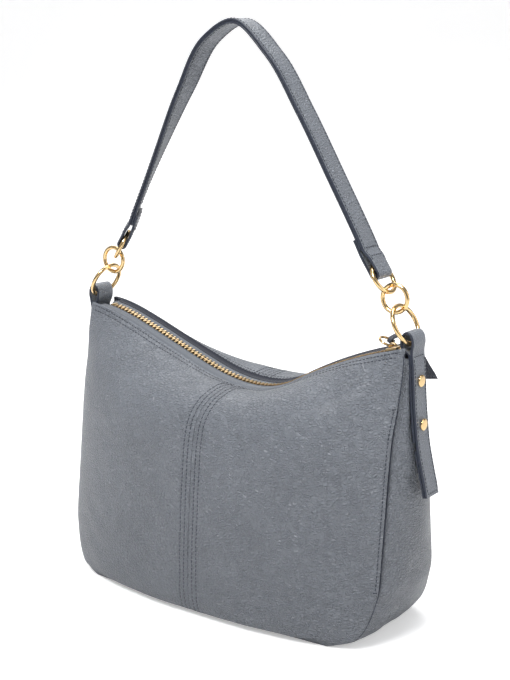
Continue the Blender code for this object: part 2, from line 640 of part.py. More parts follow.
# ---------------------------------------------------------------- ring chains
# Places are for the right side; the left is its mirror, LEFT_UP higher.
WIRE_R = 1.825 * MM
BAG_RING_R, LINK_RING_R, STRAP_RING_R = 15.9 * MM, 10.97 * MM, 12.5 * MM
RING_LEAN = np.radians(28.0)       # bag ring's lean from upright
LOOP_WIRE = np.array([0.1638, 0, 0.2422])   # lowest wire centre of the bag ring
LINK_AT = np.array([0.1463, 0, 0.2757])     # centre of the link ring
STRAP_RING_SEAT = 6.0 * MM         # strap ring's lowest wire centre from the link ring's centre
SEAT_DIR = unit([-0.62, 0, 0.78])
STRAP_RING_DIR = unit([-0.56, 0, 0.83])
LEFT_UP = 3.5 * MM
LEFT_TWIST = np.radians(32.0)      # turn of the left strap ring and strap end


def ring_chain(side):
    """Ring centres, in-plane directions and the strap ring's top wire centre on one side."""
    mirror = np.array([side, 1, 1.0])
    up = np.array([0, 0, LEFT_UP if side < 0 else 0.0])
    bag_dir = np.array([-np.sin(RING_LEAN), 0, np.cos(RING_LEAN)])
    seat = LINK_AT + SEAT_DIR * STRAP_RING_SEAT
    strap_width = Y_AXIS
    if side < 0:
        strap_width = (Y_AXIS * np.cos(LEFT_TWIST)
                       - np.cross(STRAP_RING_DIR, Y_AXIS) * np.sin(LEFT_TWIST))
    return {
        "bag_centre": (LOOP_WIRE + bag_dir * BAG_RING_R) * mirror + up,
        "bag_dir": bag_dir * mirror,
        "link_centre": LINK_AT * mirror + up,
        "strap_centre": (seat + STRAP_RING_DIR * STRAP_RING_R) * mirror + up,
        "strap_dir": STRAP_RING_DIR * mirror,
        "strap_width": strap_width * mirror,
        "top": (seat + STRAP_RING_DIR * 2 * STRAP_RING_R) * mirror + up,
    }


CHAINS = {side: ring_chain(side) for side, _ in SIDES}


def rings(side, tag):
    c = CHAINS[side]
    wire_ring("bag_ring_" + tag, c["bag_centre"], c["bag_dir"], Y_AXIS, BAG_RING_R, WIRE_R, segments=28)
    wire_ring("link_ring_" + tag, c["link_centre"], (1, 0, 0), (0, 0, 1), LINK_RING_R, WIRE_R)
    wire_ring("strap_ring_" + tag, c["strap_centre"], c["strap_dir"], c["strap_width"],
              STRAP_RING_R, WIRE_R)


# ---------------------------------------------------------------- tabs and rivets
TAB_HALF_W, TAB_T = 9.8 * MM, 2.2 * MM
TAB_SLACK = 0.2 * MM               # between the tab's two leaves
LOOP_X, LOOP_Z = 0.1631, 0.2437    # centre of the loop round the bag ring
LOOP_HALF_X, LOOP_HALF_Z = 3.9 * MM, 7.0 * MM   # its opening
TAB_INNER_END_Z = 0.1660
# heights up the outer leaf, then down the inner leaf
OUTER_LEAF_Z = np.array([.1232, .132, .139, .147, .156, .166, .179, .195, .211, .224])
INNER_LEAF_Z = np.array([.2330, .2260, .2110, .1950, .1790, TAB_INNER_END_Z])
TAB_KICK = {1: 6.2 * MM, -1: 4.5 * MM}   # how far the outer leaf stands off below the inner one
TAB_KICK_SPAN = 0.04
RIVET_Z = (("upper", 0.2138), ("lower", 0.1793))
RIVET_STAND = 0.5 * MM             # room for the slope of the tab under a flat rivet head
RIVET_HOLE_R = 2.0 * MM
HOLE_INWARD, HOLE_OUTWARD = 6 * MM, 14 * MM   # reach of the hole cutter from the gusset
# profiles in mm: distance outward from the seat, radius
RIVET_TAIL = ((-1.0, 0.8), (-0.9, 3.0), (-0.1, 3.2), (0, 3.0), (0.02, 1.6))
RIVET_HEAD = ((-0.02, 1.6), (0, 4.55), (0.35, 4.85), (0.9, 4.75), (1.3, 4.05), (1.45, 1.5))


def gusset_x(z, side):
    """Distance from X=0 of the gusset's outside on its middle line at height z."""
    points = gusset(np.zeros(400), np.linspace(0, 0.8, 400), side)
    return np.interp(-np.asarray(z), -points[:, 2], np.abs(points[:, 0]))


def side_tab(side, tag, up):
    """Strip that runs up the outside, round the bag ring and down against the gusset."""
    half_t = TAB_T / 2
    z_out, z_in = OUTER_LEAF_Z + up, INNER_LEAF_Z + up
    kick = np.clip((TAB_INNER_END_Z - OUTER_LEAF_Z) / TAB_KICK_SPAN, 0, 1) ** 1.5 * TAB_KICK[side]
    x_out = gusset_x(z_out, side) + GAP + TAB_T + TAB_SLACK + half_t + kick
    x_in = gusset_x(z_in, side) + GAP + half_t
    a = np.radians(np.linspace(-25, 205, 13))
    x = np.concatenate([x_out, LOOP_X + (LOOP_HALF_X + half_t) * np.cos(a), x_in])
    z = np.concatenate([z_out, LOOP_Z + up + (LOOP_HALF_Z + half_t) * np.sin(a), z_in])
    path = np.stack([x, 0 * x, z], -1)
    tangent = unit(np.gradient(path, axis=0))
    normal = np.stack([tangent[:, 2], 0 * x, -tangent[:, 0]], -1)
    mirror = np.array([side, 1, 1.0])
    return ribbon("side_tab_" + tag, path * mirror, np.tile(Y_AXIS, (len(x), 1)), normal * mirror,
                  TAB_HALF_W, TAB_T, "leather")


def hole_cutter(side, z):
    x = float(gusset_x(z, side))
    profile = [(x - HOLE_INWARD, RIVET_HOLE_R), (x + HOLE_OUTWARD, RIVET_HOLE_R)]
    return lathe("hole_cutter", (0, 0, z), (side, 0, 0), profile, segments=16)


def rivet(side, name, z):
    """Rivet through the gusset and both leaves of the tab."""
    x = float(gusset_x(z, side))
    tail_seat = x - LEATHER - GAP - RIVET_STAND
    head_seat = x + GAP + 2 * TAB_T + TAB_SLACK + GAP + RIVET_STAND
    profile = [(seat + a * MM, r * MM) for seat, rows in ((tail_seat, RIVET_TAIL), (head_seat, RIVET_HEAD))
               for a, r in rows]
    lathe(name, (0, 0, z), (side, 0, 0), profile)


def riveted_tab(side, tag):
    up = LEFT_UP if side < 0 else 0.0
    for target in (side_tab(side, tag, up), bpy.data.objects["gusset_" + tag]):
        combine(target, [hole_cutter(side, z + up) for _, z in RIVET_Z], "DIFFERENCE")
    for level, z in RIVET_Z:
        rivet(side, f"rivet_{tag}_{level}", z + up)


# ---------------------------------------------------------------- strap
STRAP_HALF_W, STRAP_OUTER_T, STRAP_LINING_T = 11.75 * MM, 2.0 * MM, 1.7 * MM
NECK_HALF_W = 10.2 * MM            # where it passes through a ring
# stations of the strap's arch between its two rings: X, Z
ARCH = ((-.1162, .3297), (-.0877, .3833), (-.0601, .4321), (-.0323, .4729), (-.0040, .4865),
        (.0301, .4610), (.0608, .4167), (.0911, .3661), (.1187, .3191))
FOLD_R = 3.3 * MM                  # layer offset where the strap folds round its ring
OUTER_OFFSET = 1.15 * MM           # outer layer's offset away from the rings
LINING_OFFSET = -1.0 * MM
LINING_END = 21.5 * MM             # the lining stops short of each fold
FOLD_BELOW = 8.25 * MM             # centre of the fold below the ring's top wire
TONGUE_TUCK = 0.05 * MM            # how far the tongue's end draws in
TONGUE_S = np.array([5, 9, 13, 17, 22, 27, 31]) * MM   # stations up the tongue from the fold
TWIST_START, TWIST_SPAN = 0.04, 0.15   # length over which the left twist runs out


def strap_line():
    """Middle line of the strap from fold to fold, and the length along it at each point."""
    left, right = CHAINS[-1], CHAINS[1]
    knots = np.array([left["top"] - left["strap_dir"] * FOLD_BELOW, left["top"]]
                     + [(x, 0, z) for x, z in ARCH]
                     + [right["top"], right["top"] - right["strap_dir"] * FOLD_BELOW])
    step = np.linalg.norm(np.diff(knots, axis=0), axis=1)[:, None]
    grade = np.diff(knots, axis=0) / step
    inner = (grade[:-1] * step[1:] + grade[1:] * step[:-1]) / (step[:-1] + step[1:])
    slope = np.concatenate([grade[:1], inner, grade[-1:]])
    slope[1], slope[-2] = grade[0], grade[-1]   # straight beside the rings
    t = np.linspace(0, 1, 60, endpoint=False)[:, None]
    runs = [hermite(t, step[i], knots[i], knots[i + 1], slope[i], slope[i + 1])
            for i in range(len(step))]
    line = np.concatenate(runs + [knots[-1:]])
    steps = np.linalg.norm(np.diff(line, axis=0), axis=1)
    return line, np.concatenate([[0], np.cumsum(steps)])


LINE, LINE_S = strap_line()
STRAP_LEN = LINE_S[-1]


def line_point(s):
    """Point at length s from the left fold, carried on straight past both ends."""
    inside = np.clip(s, 0, STRAP_LEN)
    point = np.stack([np.interp(inside, LINE_S, LINE[:, k]) for k in range(3)], -1)
    before, after = np.maximum(-s, 0)[..., None], np.maximum(s - STRAP_LEN, 0)[..., None]
    return point + before * unit(LINE[0] - LINE[3]) + after * unit(LINE[-1] - LINE[-4])


def strap_at(s):
    """Point, tangent, width direction and outward normal at length s from the left fold."""
    s = np.asarray(s, float)
    e = 1.5 * MM
    tangent = unit(line_point(s + e) - line_point(s - e))
    twist = (LEFT_TWIST * (1 - smoothstep((s - TWIST_START) / TWIST_SPAN)))[..., None]
    level = np.cross(tangent, Y_AXIS)
    width = Y_AXIS * np.cos(twist) + level * np.sin(twist)
    normal = facing(np.cross(width, tangent), facing(level, (0, 0, 1)))
    return line_point(s), tangent, width, normal


def from_end(s):
    return np.minimum(s, STRAP_LEN - s)


def layer_offset(s):
    """How far the outer layer stands off the middle line: wide at a ring, close elsewhere."""
    return FOLD_R + (OUTER_OFFSET - FOLD_R) * smoothstep((from_end(s) - 12 * MM) / (9 * MM))


def strap_half_w(s):
    """The strap narrows to pass through its rings."""
    return NECK_HALF_W + (STRAP_HALF_W - NECK_HALF_W) * smoothstep((from_end(s) - 5 * MM) / (17 * MM))


def strap_stations():
    """Lengths of the sections from fold to fold, closer together at the ends."""
    end = np.array([0, 5, 9, 12, 14, 16, 18, 20, 22, 25, 30, 38, 50]) * MM
    return np.concatenate([end, np.linspace(0.059, 0.140, 10), np.linspace(0.152, STRAP_LEN - 0.062, 30),
                           STRAP_LEN - end[::-1]])


def fold(s, sign):
    """Half turn of the outer layer round one end, then the tongue up the inside.

    Gives path, width direction, normal and half width.
    """
    point, tangent, width, normal = strap_at(s)
    a = np.radians(np.linspace(75, -90, 8))[:, None]
    out = tangent * sign * np.cos(a) + normal * np.sin(a)
    points, _, widths, normals = strap_at(s - sign * TONGUE_S)
    offset = FOLD_R - TONGUE_TUCK * TONGUE_S / TONGUE_S[-1]
    return (np.concatenate([point + out * FOLD_R, points - normals * offset[:, None]]),
            np.concatenate([np.tile(width, (len(a), 1)), widths]),
            np.concatenate([out, -normals]),
            np.concatenate([np.full(len(a), NECK_HALF_W), strap_half_w(TONGUE_S)]))


def strap_outer():
    """Outer layer, folded round a ring at each end."""
    s = strap_stations()
    points, _, width, normal = strap_at(s)
    path = points + normal * layer_offset(s)[:, None]
    tangent = unit(np.gradient(path, axis=0))
    path_normal = facing(unit(np.cross(width, tangent)), normal)
    body = (path, width, path_normal, strap_half_w(s))
    left = [part[::-1] for part in fold(0.0, -1)]
    right = fold(STRAP_LEN, 1)
    joined = [np.concatenate(parts) for parts in zip(left, body, right)]
    ribbon("strap_outer", *joined, STRAP_OUTER_T, "strap", columns=3)


def strap_lining():
    """Inner layer between the two folds."""
    s = strap_stations()
    s = s[from_end(s) > LINING_END]
    points, _, width, normal = strap_at(s)
    ribbon("strap_lining", points + normal * LINING_OFFSET, width, normal, strap_half_w(s),
           STRAP_LINING_T, "strap", columns=3)


# ---------------------------------------------------------------- build
for face, face_tag in FACES:
    for side, side_tag in SIDES:
        half_panel(f"{face_tag}_panel_{side_tag}", face, side, pocket=(face < 0 < side))
pocket_back()
for side, side_tag in SIDES:
    gusset_piece(side, side_tag)
base_panel()
base_board()
lining()
for face, face_tag in FACES:
    mouth_edge(face, face_tag)

teeth_row("zip_teeth_front", -1, TOOTH_START)
teeth_row("zip_teeth_back", 1, TOOTH_START + TOOTH_PITCH / 2)
for stop in STOPS:
    zip_stop(*stop)
zip_slider()
wire_ring("pull_ring", PULL_CENTRE, PULL_DIR, Y_AXIS, PULL_RING_R, PULL_WIRE_R)
pull_tag()

for side, side_tag in SIDES:
    rings(side, side_tag)
for side, side_tag in SIDES:
    riveted_tab(side, side_tag)
strap_outer()
strap_lining()
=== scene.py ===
"""A hobo bag: pebbled leather panels, painted edges, thread, woven zip tape and gold hardware, built on its CAD solids.

Metres, standing on Z = 0. X runs from the left end (-) to the right end (+), Y from the front (-) to the back (+),
and the zip and the strap run along X. Surfaces are addressed by parameters:
  u   across a front or back panel, -1 at the left seam to 1 at the right seam
  w   across an end gusset, -1 at the front seam to 1 at the back seam
  v   down the bag, 0 at the mouth to 1 at the base
"""
import json

import bpy
import bmesh
import numpy as np
from mathutils import Matrix, Vector


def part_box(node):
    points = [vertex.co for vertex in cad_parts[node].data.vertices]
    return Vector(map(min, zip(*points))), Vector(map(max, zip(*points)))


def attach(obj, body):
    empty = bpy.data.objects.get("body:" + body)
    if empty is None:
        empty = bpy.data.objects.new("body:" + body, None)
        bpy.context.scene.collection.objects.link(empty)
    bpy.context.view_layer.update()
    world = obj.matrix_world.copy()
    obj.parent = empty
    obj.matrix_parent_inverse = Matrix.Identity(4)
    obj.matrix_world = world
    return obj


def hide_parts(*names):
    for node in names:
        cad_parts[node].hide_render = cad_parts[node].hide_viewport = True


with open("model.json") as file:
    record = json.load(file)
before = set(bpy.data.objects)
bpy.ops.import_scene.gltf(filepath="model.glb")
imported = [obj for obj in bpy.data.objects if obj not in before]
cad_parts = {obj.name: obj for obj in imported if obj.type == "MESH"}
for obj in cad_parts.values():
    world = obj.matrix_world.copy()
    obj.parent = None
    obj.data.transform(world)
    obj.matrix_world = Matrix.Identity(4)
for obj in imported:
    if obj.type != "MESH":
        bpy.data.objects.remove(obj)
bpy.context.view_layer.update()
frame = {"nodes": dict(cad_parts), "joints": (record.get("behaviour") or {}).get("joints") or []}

MM = 0.001
FACES = ((-1, "front"), (1, "back"))
SIDES = ((-1, "left"), (1, "right"))
Y_AXIS = np.array([0, 1.0, 0])
rng = np.random.default_rng(7)

# ------------------------------------------------------------------ dimensions
GAP = 0.3 * MM                     # clearance between touching pieces

# Body
HALF_WIDTH = 0.165                 # X of the panel top corners
LEATHER = 1.6 * MM
EDGE_RISE = 2.2 * MM               # panel edge above the zip plane
FRONT_DROP, SAG_DROP = 2.0 * MM, 2.0 * MM   # front edge below the back edge; more right of the dip
LEFT_LIFT = 1.0105                 # height scale of the left gusset
BACK_RISE = 4.0 * MM               # the back panel swells up behind the dip of the mouth
# seam between a panel and the gusset: v, X, Y, Z
SEAM = ((0.00, .1650, .0155, .2385), (0.08, .1650, .0175, .2210), (0.18, .1630, .0195, .1970),
        (0.30, .1610, .0264, .1670), (0.52, .1600, .0344, .1120), (0.74, .1600, .0412, .0570),
        (0.85, .1560, .0448, .0310), (0.94, .1455, .0500, .0085), (1.00, .1250, .0560, .0))
# section through the middle of a panel: v, Y, Z
CROWN = ((0.00, .0155, .1900), (0.05, .0280, .1902), (0.13, .0490, .1858), (0.20, .0640, .1760),
         (0.27, .0710, .1640), (0.36, .0745, .1430), (0.55, .0768, .1000), (0.72, .0785, .0580),
         (0.84, .0790, .0300), (0.94, .0745, .0060), (1.00, .0600, .0))
# how far the gusset bows out past its seams: v, bow
GUSSET_BOW = ((0, -.001), (.08, 0), (.18, .0032), (.30, .0076), (.40, .0098), (.52, .0106),
              (.74, .0096), (.85, .0068), (.94, .0025), (1.0, 0))
# how far each end is filled out past the seam (negative: drawn in): v, right end, left end
END_FILL = ((0, 0, -.0044), (.06, 0, -.0034), (.11, .0001, -.0021), (.18, .0005, -.0006),
            (.26, .0011, 0), (.40, .0024, 0), (.52, .0032, 0), (.74, .0033, 0), (.85, .0024, 0),
            (.94, .0010, 0), (1.0, 0, 0))
BULGE_P, BULGE_Q = 2.6, 0.80       # plan outline of a panel
FREE_V = (0.165, 0.790)            # v range of the pocket mouth at the right front seam
END_U = 0.9985                     # u where a panel stops at its seam
GUSSET_TOP = 0.022                 # v of the gusset's top edge
TAB_NOTCH = 0.019                  # the edge dips by this much v behind the tab
# rough surface lengths, for turning parameters into distances
MOUTH_RUN, BASE_RUN = 0.27, 0.24   # per unit v near the mouth and near the base
U_RUN = 0.16                       # per unit u

# Zip track: the right run is an arc about ARC_C, the rest is a smooth sag
ARC_R = 0.400
ARC_C = (0.2514, -0.1514)          # X, Z
# X, Z, slope
SAG = ((-.1650, .2394, -.02), (-.1200, .2304, -.345), (-.0330, .1974, -.36), (.0180, .1876, 0.0),
       (.056, .1976, .560))
CHAIN_FROM, CHAIN_TO = -0.1440, 0.1500
TOOTH_PITCH = 3.9 * MM
SLIDER_X = 0.1470
PULL_RING_R, PULL_WIRE_R = 6.0 * MM, 1.0 * MM
PULL_LEAN = 155.0                  # degrees from +X, in the XZ plane

# Ring chain (right side; the left is its mirror, LEFT_UP higher)
WIRE_R = 1.825 * MM
BAG_RING_R, LINK_RING_R, STRAP_RING_R = 15.9 * MM, 10.97 * MM, 12.5 * MM
RING_LEAN = 28.0                   # degrees the bag ring leans inward
LINK_AT = (0.1463, 0.2757)         # X, Z of the link ring's centre
STRAP_RING_SEAT = 6.0 * MM
LEFT_UP = 3.5 * MM
LEFT_TWIST = 32.0                  # degrees the strap is turned at its left end

# Tabs
TAB_HALF_W, TAB_T = 9.8 * MM, 2.2 * MM
LOOP_AT, LOOP_HW, LOOP_HH = (0.1631, 0.2437), 3.9 * MM, 7.0 * MM   # centre X, Z and half sizes

# Strap
STRAP_HALF_W, STRAP_OUTER_T, STRAP_LINING_T = 11.75 * MM, 2.0 * MM, 1.7 * MM
# stations of the strap's arch between its two rings: X, Z
ARCH = ((-.1162, .3297), (-.0877, .3833), (-.0601, .4321), (-.0323, .4729), (-.0040, .4865),
        (.0301, .4610), (.0608, .4167), (.0911, .3661), (.1187, .3191))
POCKET_HALF = 3.3 * MM             # layer offset where the strap folds round its ring
LAYER_HALF = 1.15 * MM             # layer offset elsewhere
FOLD_BELOW = 8.25 * MM             # centre of the fold below the ring's top wire
TONGUE = 31 * MM                   # length folded back under the strap
NECK_HALF_W = 10.2 * MM


# ------------------------------------------------------------------ numeric helpers
def unit(a):
    a = np.asarray(a, float)
    return a / np.linalg.norm(a, axis=-1, keepdims=True)


def clamp(x):
    return np.clip(x, 0, 1)


def smooth(x):
    """Smoothstep of x over 0..1."""
    k = clamp(x)
    return k * k * (3 - 2 * k)


def bell(x, width):
    return np.exp(-(x / width) ** 2)


def roll(x, width):
    """Quarter-round fall towards an edge: 1 at the edge, 0 beyond width."""
    k = clamp(1 - x / width)
    return 1 - np.sqrt(np.maximum(1 - k * k, 0))


def facing(normals, guide):
    """Normals flipped where they point against the guide."""
    return np.where((normals * np.asarray(guide)).sum(-1, keepdims=True) < 0, -normals, normals)


def hermite(t, span, p0, slope0, p1, slope1):
    return ((1 + 2 * t) * (1 - t) ** 2 * p0 + t * (1 - t) ** 2 * span * slope0
            + t * t * (3 - 2 * t) * p1 + t * t * (t - 1) * span * slope1)


def curve(knots, v):
    """Smooth monotone interpolation of knot rows (v, a, b, ...) at v, one result per column."""
    table = np.array(knots, float)
    x, y = table[:, 0], table[:, 1:]
    h = np.diff(x)[:, None]
    d = np.diff(y, axis=0) / h
    slope = np.zeros_like(y)
    slope[0], slope[-1] = d[0], d[-1]
    same_sign = d[:-1] * d[1:] > 0
    w1, w2 = 2 * h[1:] + h[:-1], h[1:] + 2 * h[:-1]
    with np.errstate(divide="ignore", invalid="ignore"):
        slope[1:-1] = np.where(same_sign, (w1 + w2) / (w1 / d[:-1] + w2 / d[1:]), 0)
    v = np.clip(np.asarray(v, float), x[0], x[-1])
    i = np.clip(np.searchsorted(x, v, side="right") - 1, 0, len(x) - 2)
    span = x[i + 1] - x[i]
    t = ((v - x[i]) / span)[..., None]
    return hermite(t, span[..., None], y[i], slope[i], y[i + 1], slope[i + 1])


def spline(knots, per_span, straight_ends=False):
    """Smooth line through the knots; straight_ends keeps the first and last spans straight."""
    span = np.linalg.norm(np.diff(knots, axis=0), axis=1)[:, None]
    d = np.diff(knots, axis=0) / span
    inner = (d[:-1] * span[1:] + d[1:] * span[:-1]) / (span[:-1] + span[1:])
    slope = np.concatenate([d[:1], inner, d[-1:]])
    if straight_ends:
        slope[1], slope[-2] = d[0], d[-1]
    t = np.linspace(0, 1, per_span, endpoint=False)[:, None]
    pieces = [hermite(t, span[i], knots[i], slope[i], knots[i + 1], slope[i + 1])
              for i in range(len(span))]
    return np.concatenate(pieces + [knots[-1:]])


def lengths(line):
    """Length along a line at each of its points."""
    steps = np.linalg.norm(np.diff(line, axis=0), axis=1)
    return np.concatenate([[0], np.cumsum(steps)])


def resample(values, run, at):
    """Rows of values, known at lengths run, read at the lengths at."""
    return np.stack([np.interp(at, run, column) for column in values.T], -1)


# ------------------------------------------------------------------ body surface
def track_z(x):
    """Height of the zip's middle plane at X."""
    x = np.asarray(x, float)
    z = ARC_C[1] + np.sqrt(ARC_R ** 2 - np.minimum(ARC_C[0] - x, ARC_R * 0.99) ** 2)
    for (x0, z0, slope0), (x1, z1, slope1) in zip(SAG, SAG[1:]):
        piece = hermite(clamp((x - x0) / (x1 - x0)), x1 - x0, z0, slope0, z1, slope1)
        z = np.where((x >= x0) & (x < x1), piece, z)
    return np.where(x < SAG[0][0], SAG[0][1], z)


MID_TOP_Z = track_z(0.0) + EDGE_RISE
END_TOP_Z = track_z(HALF_WIDTH) + EDGE_RISE
# what the panel edge stands above the tables at the middle and at the ends
MID_EXTRA, END_EXTRA = MID_TOP_Z - CROWN[0][2], END_TOP_Z - SEAM[0][3]


def spread(a, b):
    return np.broadcast_arrays(np.asarray(a, float), np.asarray(b, float))


def panel(u, v, face):
    """Plain outer surface of the front (face=-1) or back (face=1) panel."""
    u, v = spread(u, v)
    seam, crown, fill = curve(SEAM, v), curve(CROWN, v), curve(END_FILL, v)
    x = u * seam[..., 0] + fill[..., 0] * clamp(u) ** 6 - fill[..., 1] * clamp(-u) ** 6
    bulge = np.maximum(1 - np.abs(u) ** BULGE_P, 0) ** BULGE_Q
    y = seam[..., 1] + (crown[..., 0] - seam[..., 1]) * bulge
    # rows follow the mouth line at the top and ease into a plain curve lower down
    mouth = (track_z(u * HALF_WIDTH) + EDGE_RISE - MID_TOP_Z) / (END_TOP_Z - MID_TOP_Z)
    low = np.abs(u) ** 2.2
    k = smooth(v / 0.45)
    rise = mouth * (1 - k) + low * k
    z_mid = crown[..., 1] + MID_EXTRA * (1 - v) ** 4
    z_seam = seam[..., 2] + END_EXTRA * (1 - v) ** 4
    z = z_mid + (z_seam - z_mid) * rise
    if face < 0:
        drop = (FRONT_DROP + SAG_DROP * bell(u - 0.40, 0.26)) * (1 - np.abs(u) ** 8)
        z = z - drop * clamp(1 - v / 0.12) ** 2
    else:
        swell = smooth((v - 0.04) / 0.11) * np.exp(-(v / 0.24) ** 4)
        z = z + BACK_RISE * swell * bell(u - 0.12, 0.45)
    return np.stack([x, face * y, np.maximum(z, 0)], -1)


def seam_run(v):
    """X and Z of the unit direction down the right seam."""
    e = 1e-3
    step = curve(SEAM, clamp(v + e)) - curve(SEAM, clamp(v - e))
    dx, dz = step[..., 0], step[..., 2]
    size = np.hypot(dx, dz)
    return dx / size, dz / size


def seam_dir(side, v, face):
    """Unit direction into the bag from the seam: the mitre between panel and gusset."""
    dx, dz = seam_run(v)
    return unit(np.stack([side * dz, -face + 0 * dx, -dx], -1))


def panel_normal(u, v, face):
    """Outward unit normal of a panel, steadied next to its edges."""
    e = 2e-3
    u, v = spread(u, v)
    u, v = np.clip(u, -0.985, 0.985), np.clip(v, 0.004, 0.985)
    along_u = panel(u + e, v, face) - panel(u - e, v, face)
    along_v = panel(u, v + e, face) - panel(u, v - e, face)
    return face * unit(np.cross(along_u, along_v))


MITRE = 1.3                        # depth scale along a mitre


def panel_inset(u, v, face, depth):
    """Point at a depth under the panel. Next to a seam or the base it runs along the mitre."""
    u, v = spread(u, v)
    inward = -panel_normal(u, v, face)
    mitre = seam_dir(np.where(u >= 0, 1.0, -1.0), v, face) * MITRE
    near = clamp((np.abs(u) - 0.93) / 0.055)[..., None]
    low = clamp((v - 0.90) / 0.08)[..., None]
    base = np.array([0, -face, 1.0]) / np.sqrt(2) * MITRE
    way = inward * (1 - near) + mitre * near
    way = way * (1 - low) + (base * (1 - near) + mitre * near) * low
    return panel(u, v, face) + way * depth


def gusset(w, v, side):
    """Plain outer surface of an end gusset."""
    w, v = spread(w, v)
    seam = curve(SEAM, v)
    dx, dz = seam_run(v)
    bow = curve(GUSSET_BOW, v)[..., 0] * (1 - w * w)
    z = seam[..., 2] + END_EXTRA * (1 - v) ** 4 + dx * bow
    if side < 0:
        z = z * (1 + (LEFT_LIFT - 1) * clamp(z / 0.2))
    x = seam[..., 0] - dz * bow + curve(END_FILL, v)[..., 0 if side > 0 else 1]
    return np.stack([side * x, w * seam[..., 1], np.maximum(z, 0)], -1)


def gusset_normal(w, v, side):
    e = 2e-3
    w, v = spread(w, v)
    w, v = np.clip(w, -0.98, 0.98), np.clip(v, 0.004, 0.99)
    along_w = gusset(w + e, v, side) - gusset(w - e, v, side)
    along_v = gusset(w, v + e, side) - gusset(w, v - e, side)
    return facing(unit(np.cross(along_w, along_v)), (side, 0, -0.6))


def gusset_inset(w, v, side, depth):
    w, v = spread(w, v)
    mitre = seam_dir(float(side), v, np.where(w >= 0, 1.0, -1.0)) * MITRE
    near = clamp((np.abs(w) - 0.80) / 0.15)[..., None]
    way = -gusset_normal(w, v, side) * (1 - near) + mitre * near
    return gusset(w, v, side) + way * depth


def seam_u(v):
    """u of the centre seam, which leans a little to the right near the mouth."""
    return 0.0062 * (1 - v) ** 2 / curve(SEAM, v)[..., 0]


def gusset_x(z, side):
    """Distance of the gusset's middle line from X = 0 at height z."""
    line = gusset(np.zeros(400), np.linspace(0, 0.8, 400), side)
    return np.interp(-np.asarray(z), -line[:, 2], np.abs(line[:, 0]))


def along(x):
    """Point, tangent and upward normal of the zip track at X."""
    e = 1e-4
    slope = (track_z(x + e) - track_z(x - e)) / (2 * e)
    tangent = unit(np.stack([np.ones_like(slope), 0 * slope, slope], -1))
    normal = np.stack([-tangent[..., 2], 0 * slope, tangent[..., 0]], -1)
    return np.stack([x, 0 * x, track_z(x)], -1), tangent, normal


# ------------------------------------------------------------------ rings and strap line
def ring_chain(side):
    """Axes of the bag and strap rings, and the strap ring's centre and top."""
    mirror = np.array([side, 1, 1.0])
    lift = np.array([0, 0, LEFT_UP if side < 0 else 0.0])
    lean = np.radians(RING_LEAN)
    bag_up = np.array([-np.sin(lean), 0, np.cos(lean)])
    strap_up = unit([-0.56, 0, 0.83])
    seat = np.array([LINK_AT[0], 0, LINK_AT[1]]) + unit([-0.62, 0, 0.78]) * STRAP_RING_SEAT
    width = Y_AXIS
    if side < 0:
        twist = -np.radians(LEFT_TWIST)
        width = width * np.cos(twist) + np.cross(strap_up, width) * np.sin(twist)
    return {"bag_up": bag_up * mirror, "strap_up": strap_up * mirror,
            "strap_width": width * mirror,
            "strap_centre": (seat + strap_up * STRAP_RING_R) * mirror + lift,
            "top": (seat + strap_up * 2 * STRAP_RING_R) * mirror + lift}


CHAINS = {side: ring_chain(side) for side, _ in SIDES}


def strap_line():
    """Middle line of the strap from the left fold to the right fold."""
    tops, folds = [], []
    for side, _ in SIDES:
        top = CHAINS[side]["top"]
        tops.append(top)
        folds.append(top + unit(CHAINS[side]["strap_centre"] - top) * FOLD_BELOW)
    knots = [folds[0], tops[0]] + [(x, 0, z) for x, z in ARCH] + [tops[1], folds[1]]
    return spline(np.array(knots), per_span=60, straight_ends=True)


STRAP_LINE = strap_line()
STRAP_RUN = lengths(STRAP_LINE)
STRAP_LEN = STRAP_RUN[-1]


def strap_point(s):
    """Point at length s; past either end the line carries on straight."""
    base = resample(STRAP_LINE, STRAP_RUN, np.clip(s, 0, STRAP_LEN))
    left = unit(STRAP_LINE[0] - STRAP_LINE[3])
    right = unit(STRAP_LINE[-1] - STRAP_LINE[-4])
    return (base + np.where(s < 0, -s, 0)[..., None] * left
            + np.where(s > STRAP_LEN, s - STRAP_LEN, 0)[..., None] * right)


def strap_at(s):
    """Point, tangent, width direction and outward normal at length s from the left fold."""
    e = 1.5 * MM
    tangent = unit(strap_point(s + e) - strap_point(s - e))
    # the twist fades out along the left of the strap
    twist = np.radians(LEFT_TWIST) * (1 - smooth((s - 0.04) / 0.15))[..., None]
    flat = np.broadcast_to(Y_AXIS, tangent.shape)
    side_turn = np.cross(tangent, flat)
    width = flat * np.cos(twist) + side_turn * np.sin(twist)
    up = facing(side_turn, (0, 0, 1))
    return strap_point(s), tangent, width, facing(np.cross(width, tangent), up)


def layer_offset(s):
    """How far the outer layer stands off the middle line: wide at a ring, close elsewhere."""
    k = smooth((np.minimum(s, STRAP_LEN - s) - 12 * MM) / (9 * MM))
    return POCKET_HALF + (LAYER_HALF - POCKET_HALF) * k


def strap_half_w(s):
    """The strap narrows to pass through its rings."""
    k = smooth((np.minimum(s, STRAP_LEN - s) - 5 * MM) / (17 * MM))
    return NECK_HALF_W + (STRAP_HALF_W - NECK_HALF_W) * k


# ------------------------------------------------------------------ ties to the CAD solids
def box_of(solid):
    lo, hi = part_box(solid)
    return np.array(lo), np.array(hi)


def mid_of(solid):
    lo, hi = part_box(solid)
    return np.array((lo + hi) / 2)


def finish(piece, name, body):
    """Ties a piece to its moving body and hides the solid of that name."""
    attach(piece, body)
    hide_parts(name)


# ------------------------------------------------------------------ material helpers
def feed(node, inputs):
    """Links each input to a socket, or sets its value."""
    for key, value in inputs.items():
        if isinstance(value, bpy.types.NodeSocket):
            node.id_data.links.new(value, node.inputs[key])
        else:
            node.inputs[key].default_value = value


